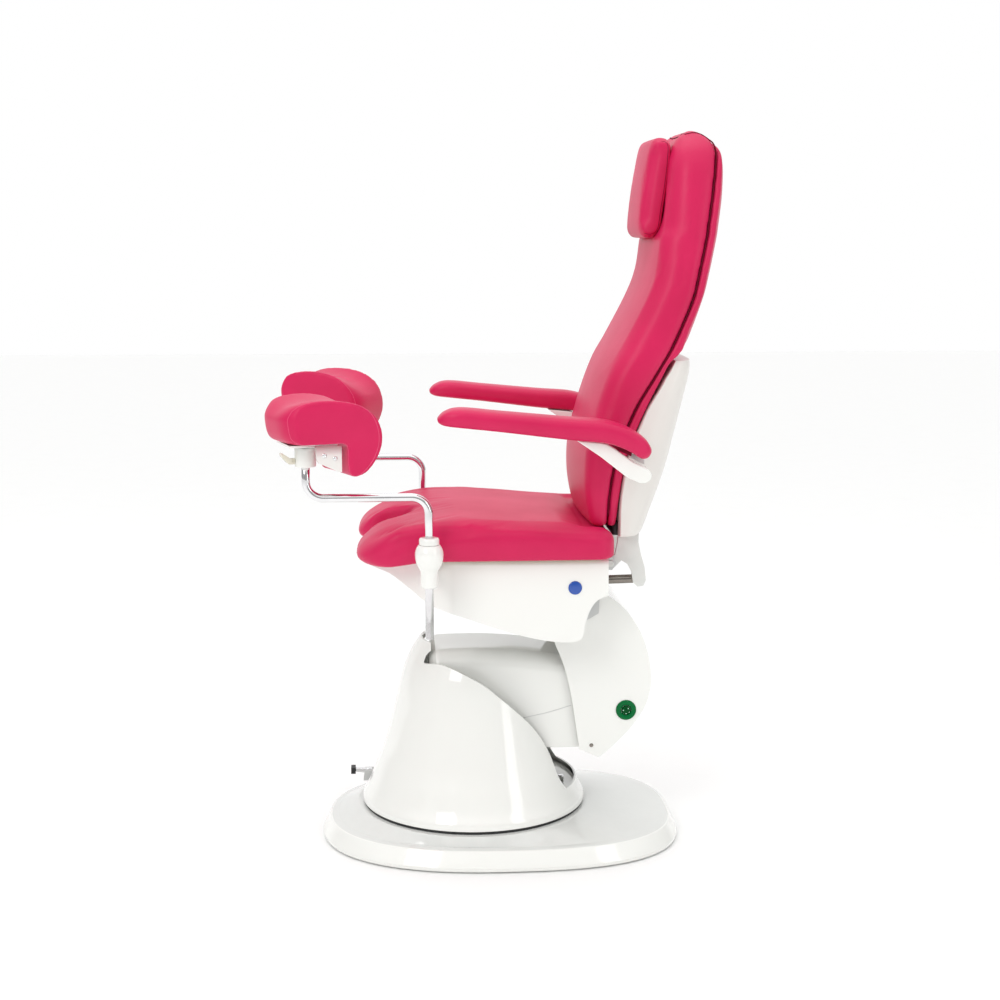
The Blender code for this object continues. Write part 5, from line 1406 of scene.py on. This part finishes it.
def makeWing(sign, tag):
    s = wing
    low = tag.lower()
    obj = toObject(turnedSkin(s["hub"], (0, 0, s["axis"]), "X", 40), "wingLever" + tag, "cream")
    joined(obj, slab([(x, -s["half"], z) for x, z in s["blade"]], (0, 2 * s["half"], 0)))
    placed(obj, splayTurn(sign))
    eased(obj, 0.0010, 2, 40.0)
    settle(obj, "wing_lever_" + low, "chrome", "wing_lever_" + low)


def makeArmBlade(sign, tag):
    low = tag.lower()
    for name, s in (("armBlade", armBlade), ("armShadeFlap", armShadeFlap), ("armLeaf", armLeaf)):
        y0, y1 = sorted(sign * y for y in s["span"])
        obj = toObject(slab([(x, y0, z) for x, z in s["side"]], (0, y1 - y0, 0)), name + tag, s["finish"])
        eased(obj, s["edge"], s["steps"], 40.0)
        settle(obj, "armrest_" + low, s["slot"], *[node + low for node in s["replaces"]])


def makeBackRod():
    s = backRod
    (ex, ez), (dx, dz), y = s["eye"], s["drive"], s["line"]
    long = math.hypot(ex - dx, ez - dz)
    lean = math.atan2(ez - dz, ex - dx) - math.radians(s["turn"])
    r, c, end = s["radius"], s["chamfer"], s["inTube"] - long
    shank = [(0.0, end), (r - c, end), (r, end + c), (r, -s["neck"]), (0.0, -s["neck"])]
    obj = toObject(turnedSkin(shank, (0, 0, 0), "X", 48), "backRod", "gunmetal")
    joined(obj, turnedSkin(s["ring"], (0, 0, 0), "Y", 48))
    carve(obj, drum(s["ring"][0][0], 0.02, 0.0, 48))
    placed(obj, Matrix.Translation((ex, y, ez)) @ Matrix.Rotation(-lean, 4, "Y"))
    eased(obj, 0.0005, 2, 45.0)
    settle(obj, "back_rod", "chrome", "back_rod")


for sign, tag in bothSides:
    makeWing(sign, tag)
    makeArmBlade(sign, tag)
makeBackRod()
# a black strip under the back panel: painted shadow in the gap between seat and back
gapShade = {"x": (0.2695, 0.2800), "half": 0.166, "z": (0.658, 0.684)}
settle(toObject(block(*gapShade["x"], -gapShade["half"], gapShade["half"], *gapShade["z"]), "rearGapShade", "rubber"),
       "backrest", "black_rubber")
notchPanel = {"chord": 0.096, "radius": 0.2140, "z": (0.1015, 0.1055)}


def makeNotchPanel():
    # closes the foot of the bell's opening, round the standing bolt
    s = notchPanel
    reach = math.acos(s["chord"] / s["radius"])
    line = [(s["radius"] * math.cos(reach * (i / 20 - 1)), s["radius"] * math.sin(reach * (i / 20 - 1)))
            for i in range(41)]
    low, high = s["z"]
    obj = toObject(slab([(x, y, low) for x, y in line], (0, 0, high - low)), "notchPanel", "white")
    eased(obj, 0.0010, 2, 45.0)
    settle(obj, "pedestal", "white_gloss")


makeNotchPanel()
softened("back_frame", "backFrame", 0.0016, "backrest", "bracket_grey", "grey")
softened("pedal_lever", "pedalLever", 0.0010, "brake_pedal", "chrome", "chrome")
print("details made")

# floor

floorMesh = bpy.data.meshes.new("floor")
bm = bmesh.new()
bmesh.ops.create_grid(bm, x_segments=1, y_segments=1, size=14.0)
bm.to_mesh(floorMesh)
bm.free()
floor = bpy.data.objects.new("floor", floorMesh)
scene.collection.objects.link(floor)
floorMesh.materials.append(finish("paleFloor", skinGroup, studio["floor"], (0.93, 0.93, 0.92), (0.55, 0.7),
                                  (0.02, 0.0005)))
floor.location.z = -0.0006
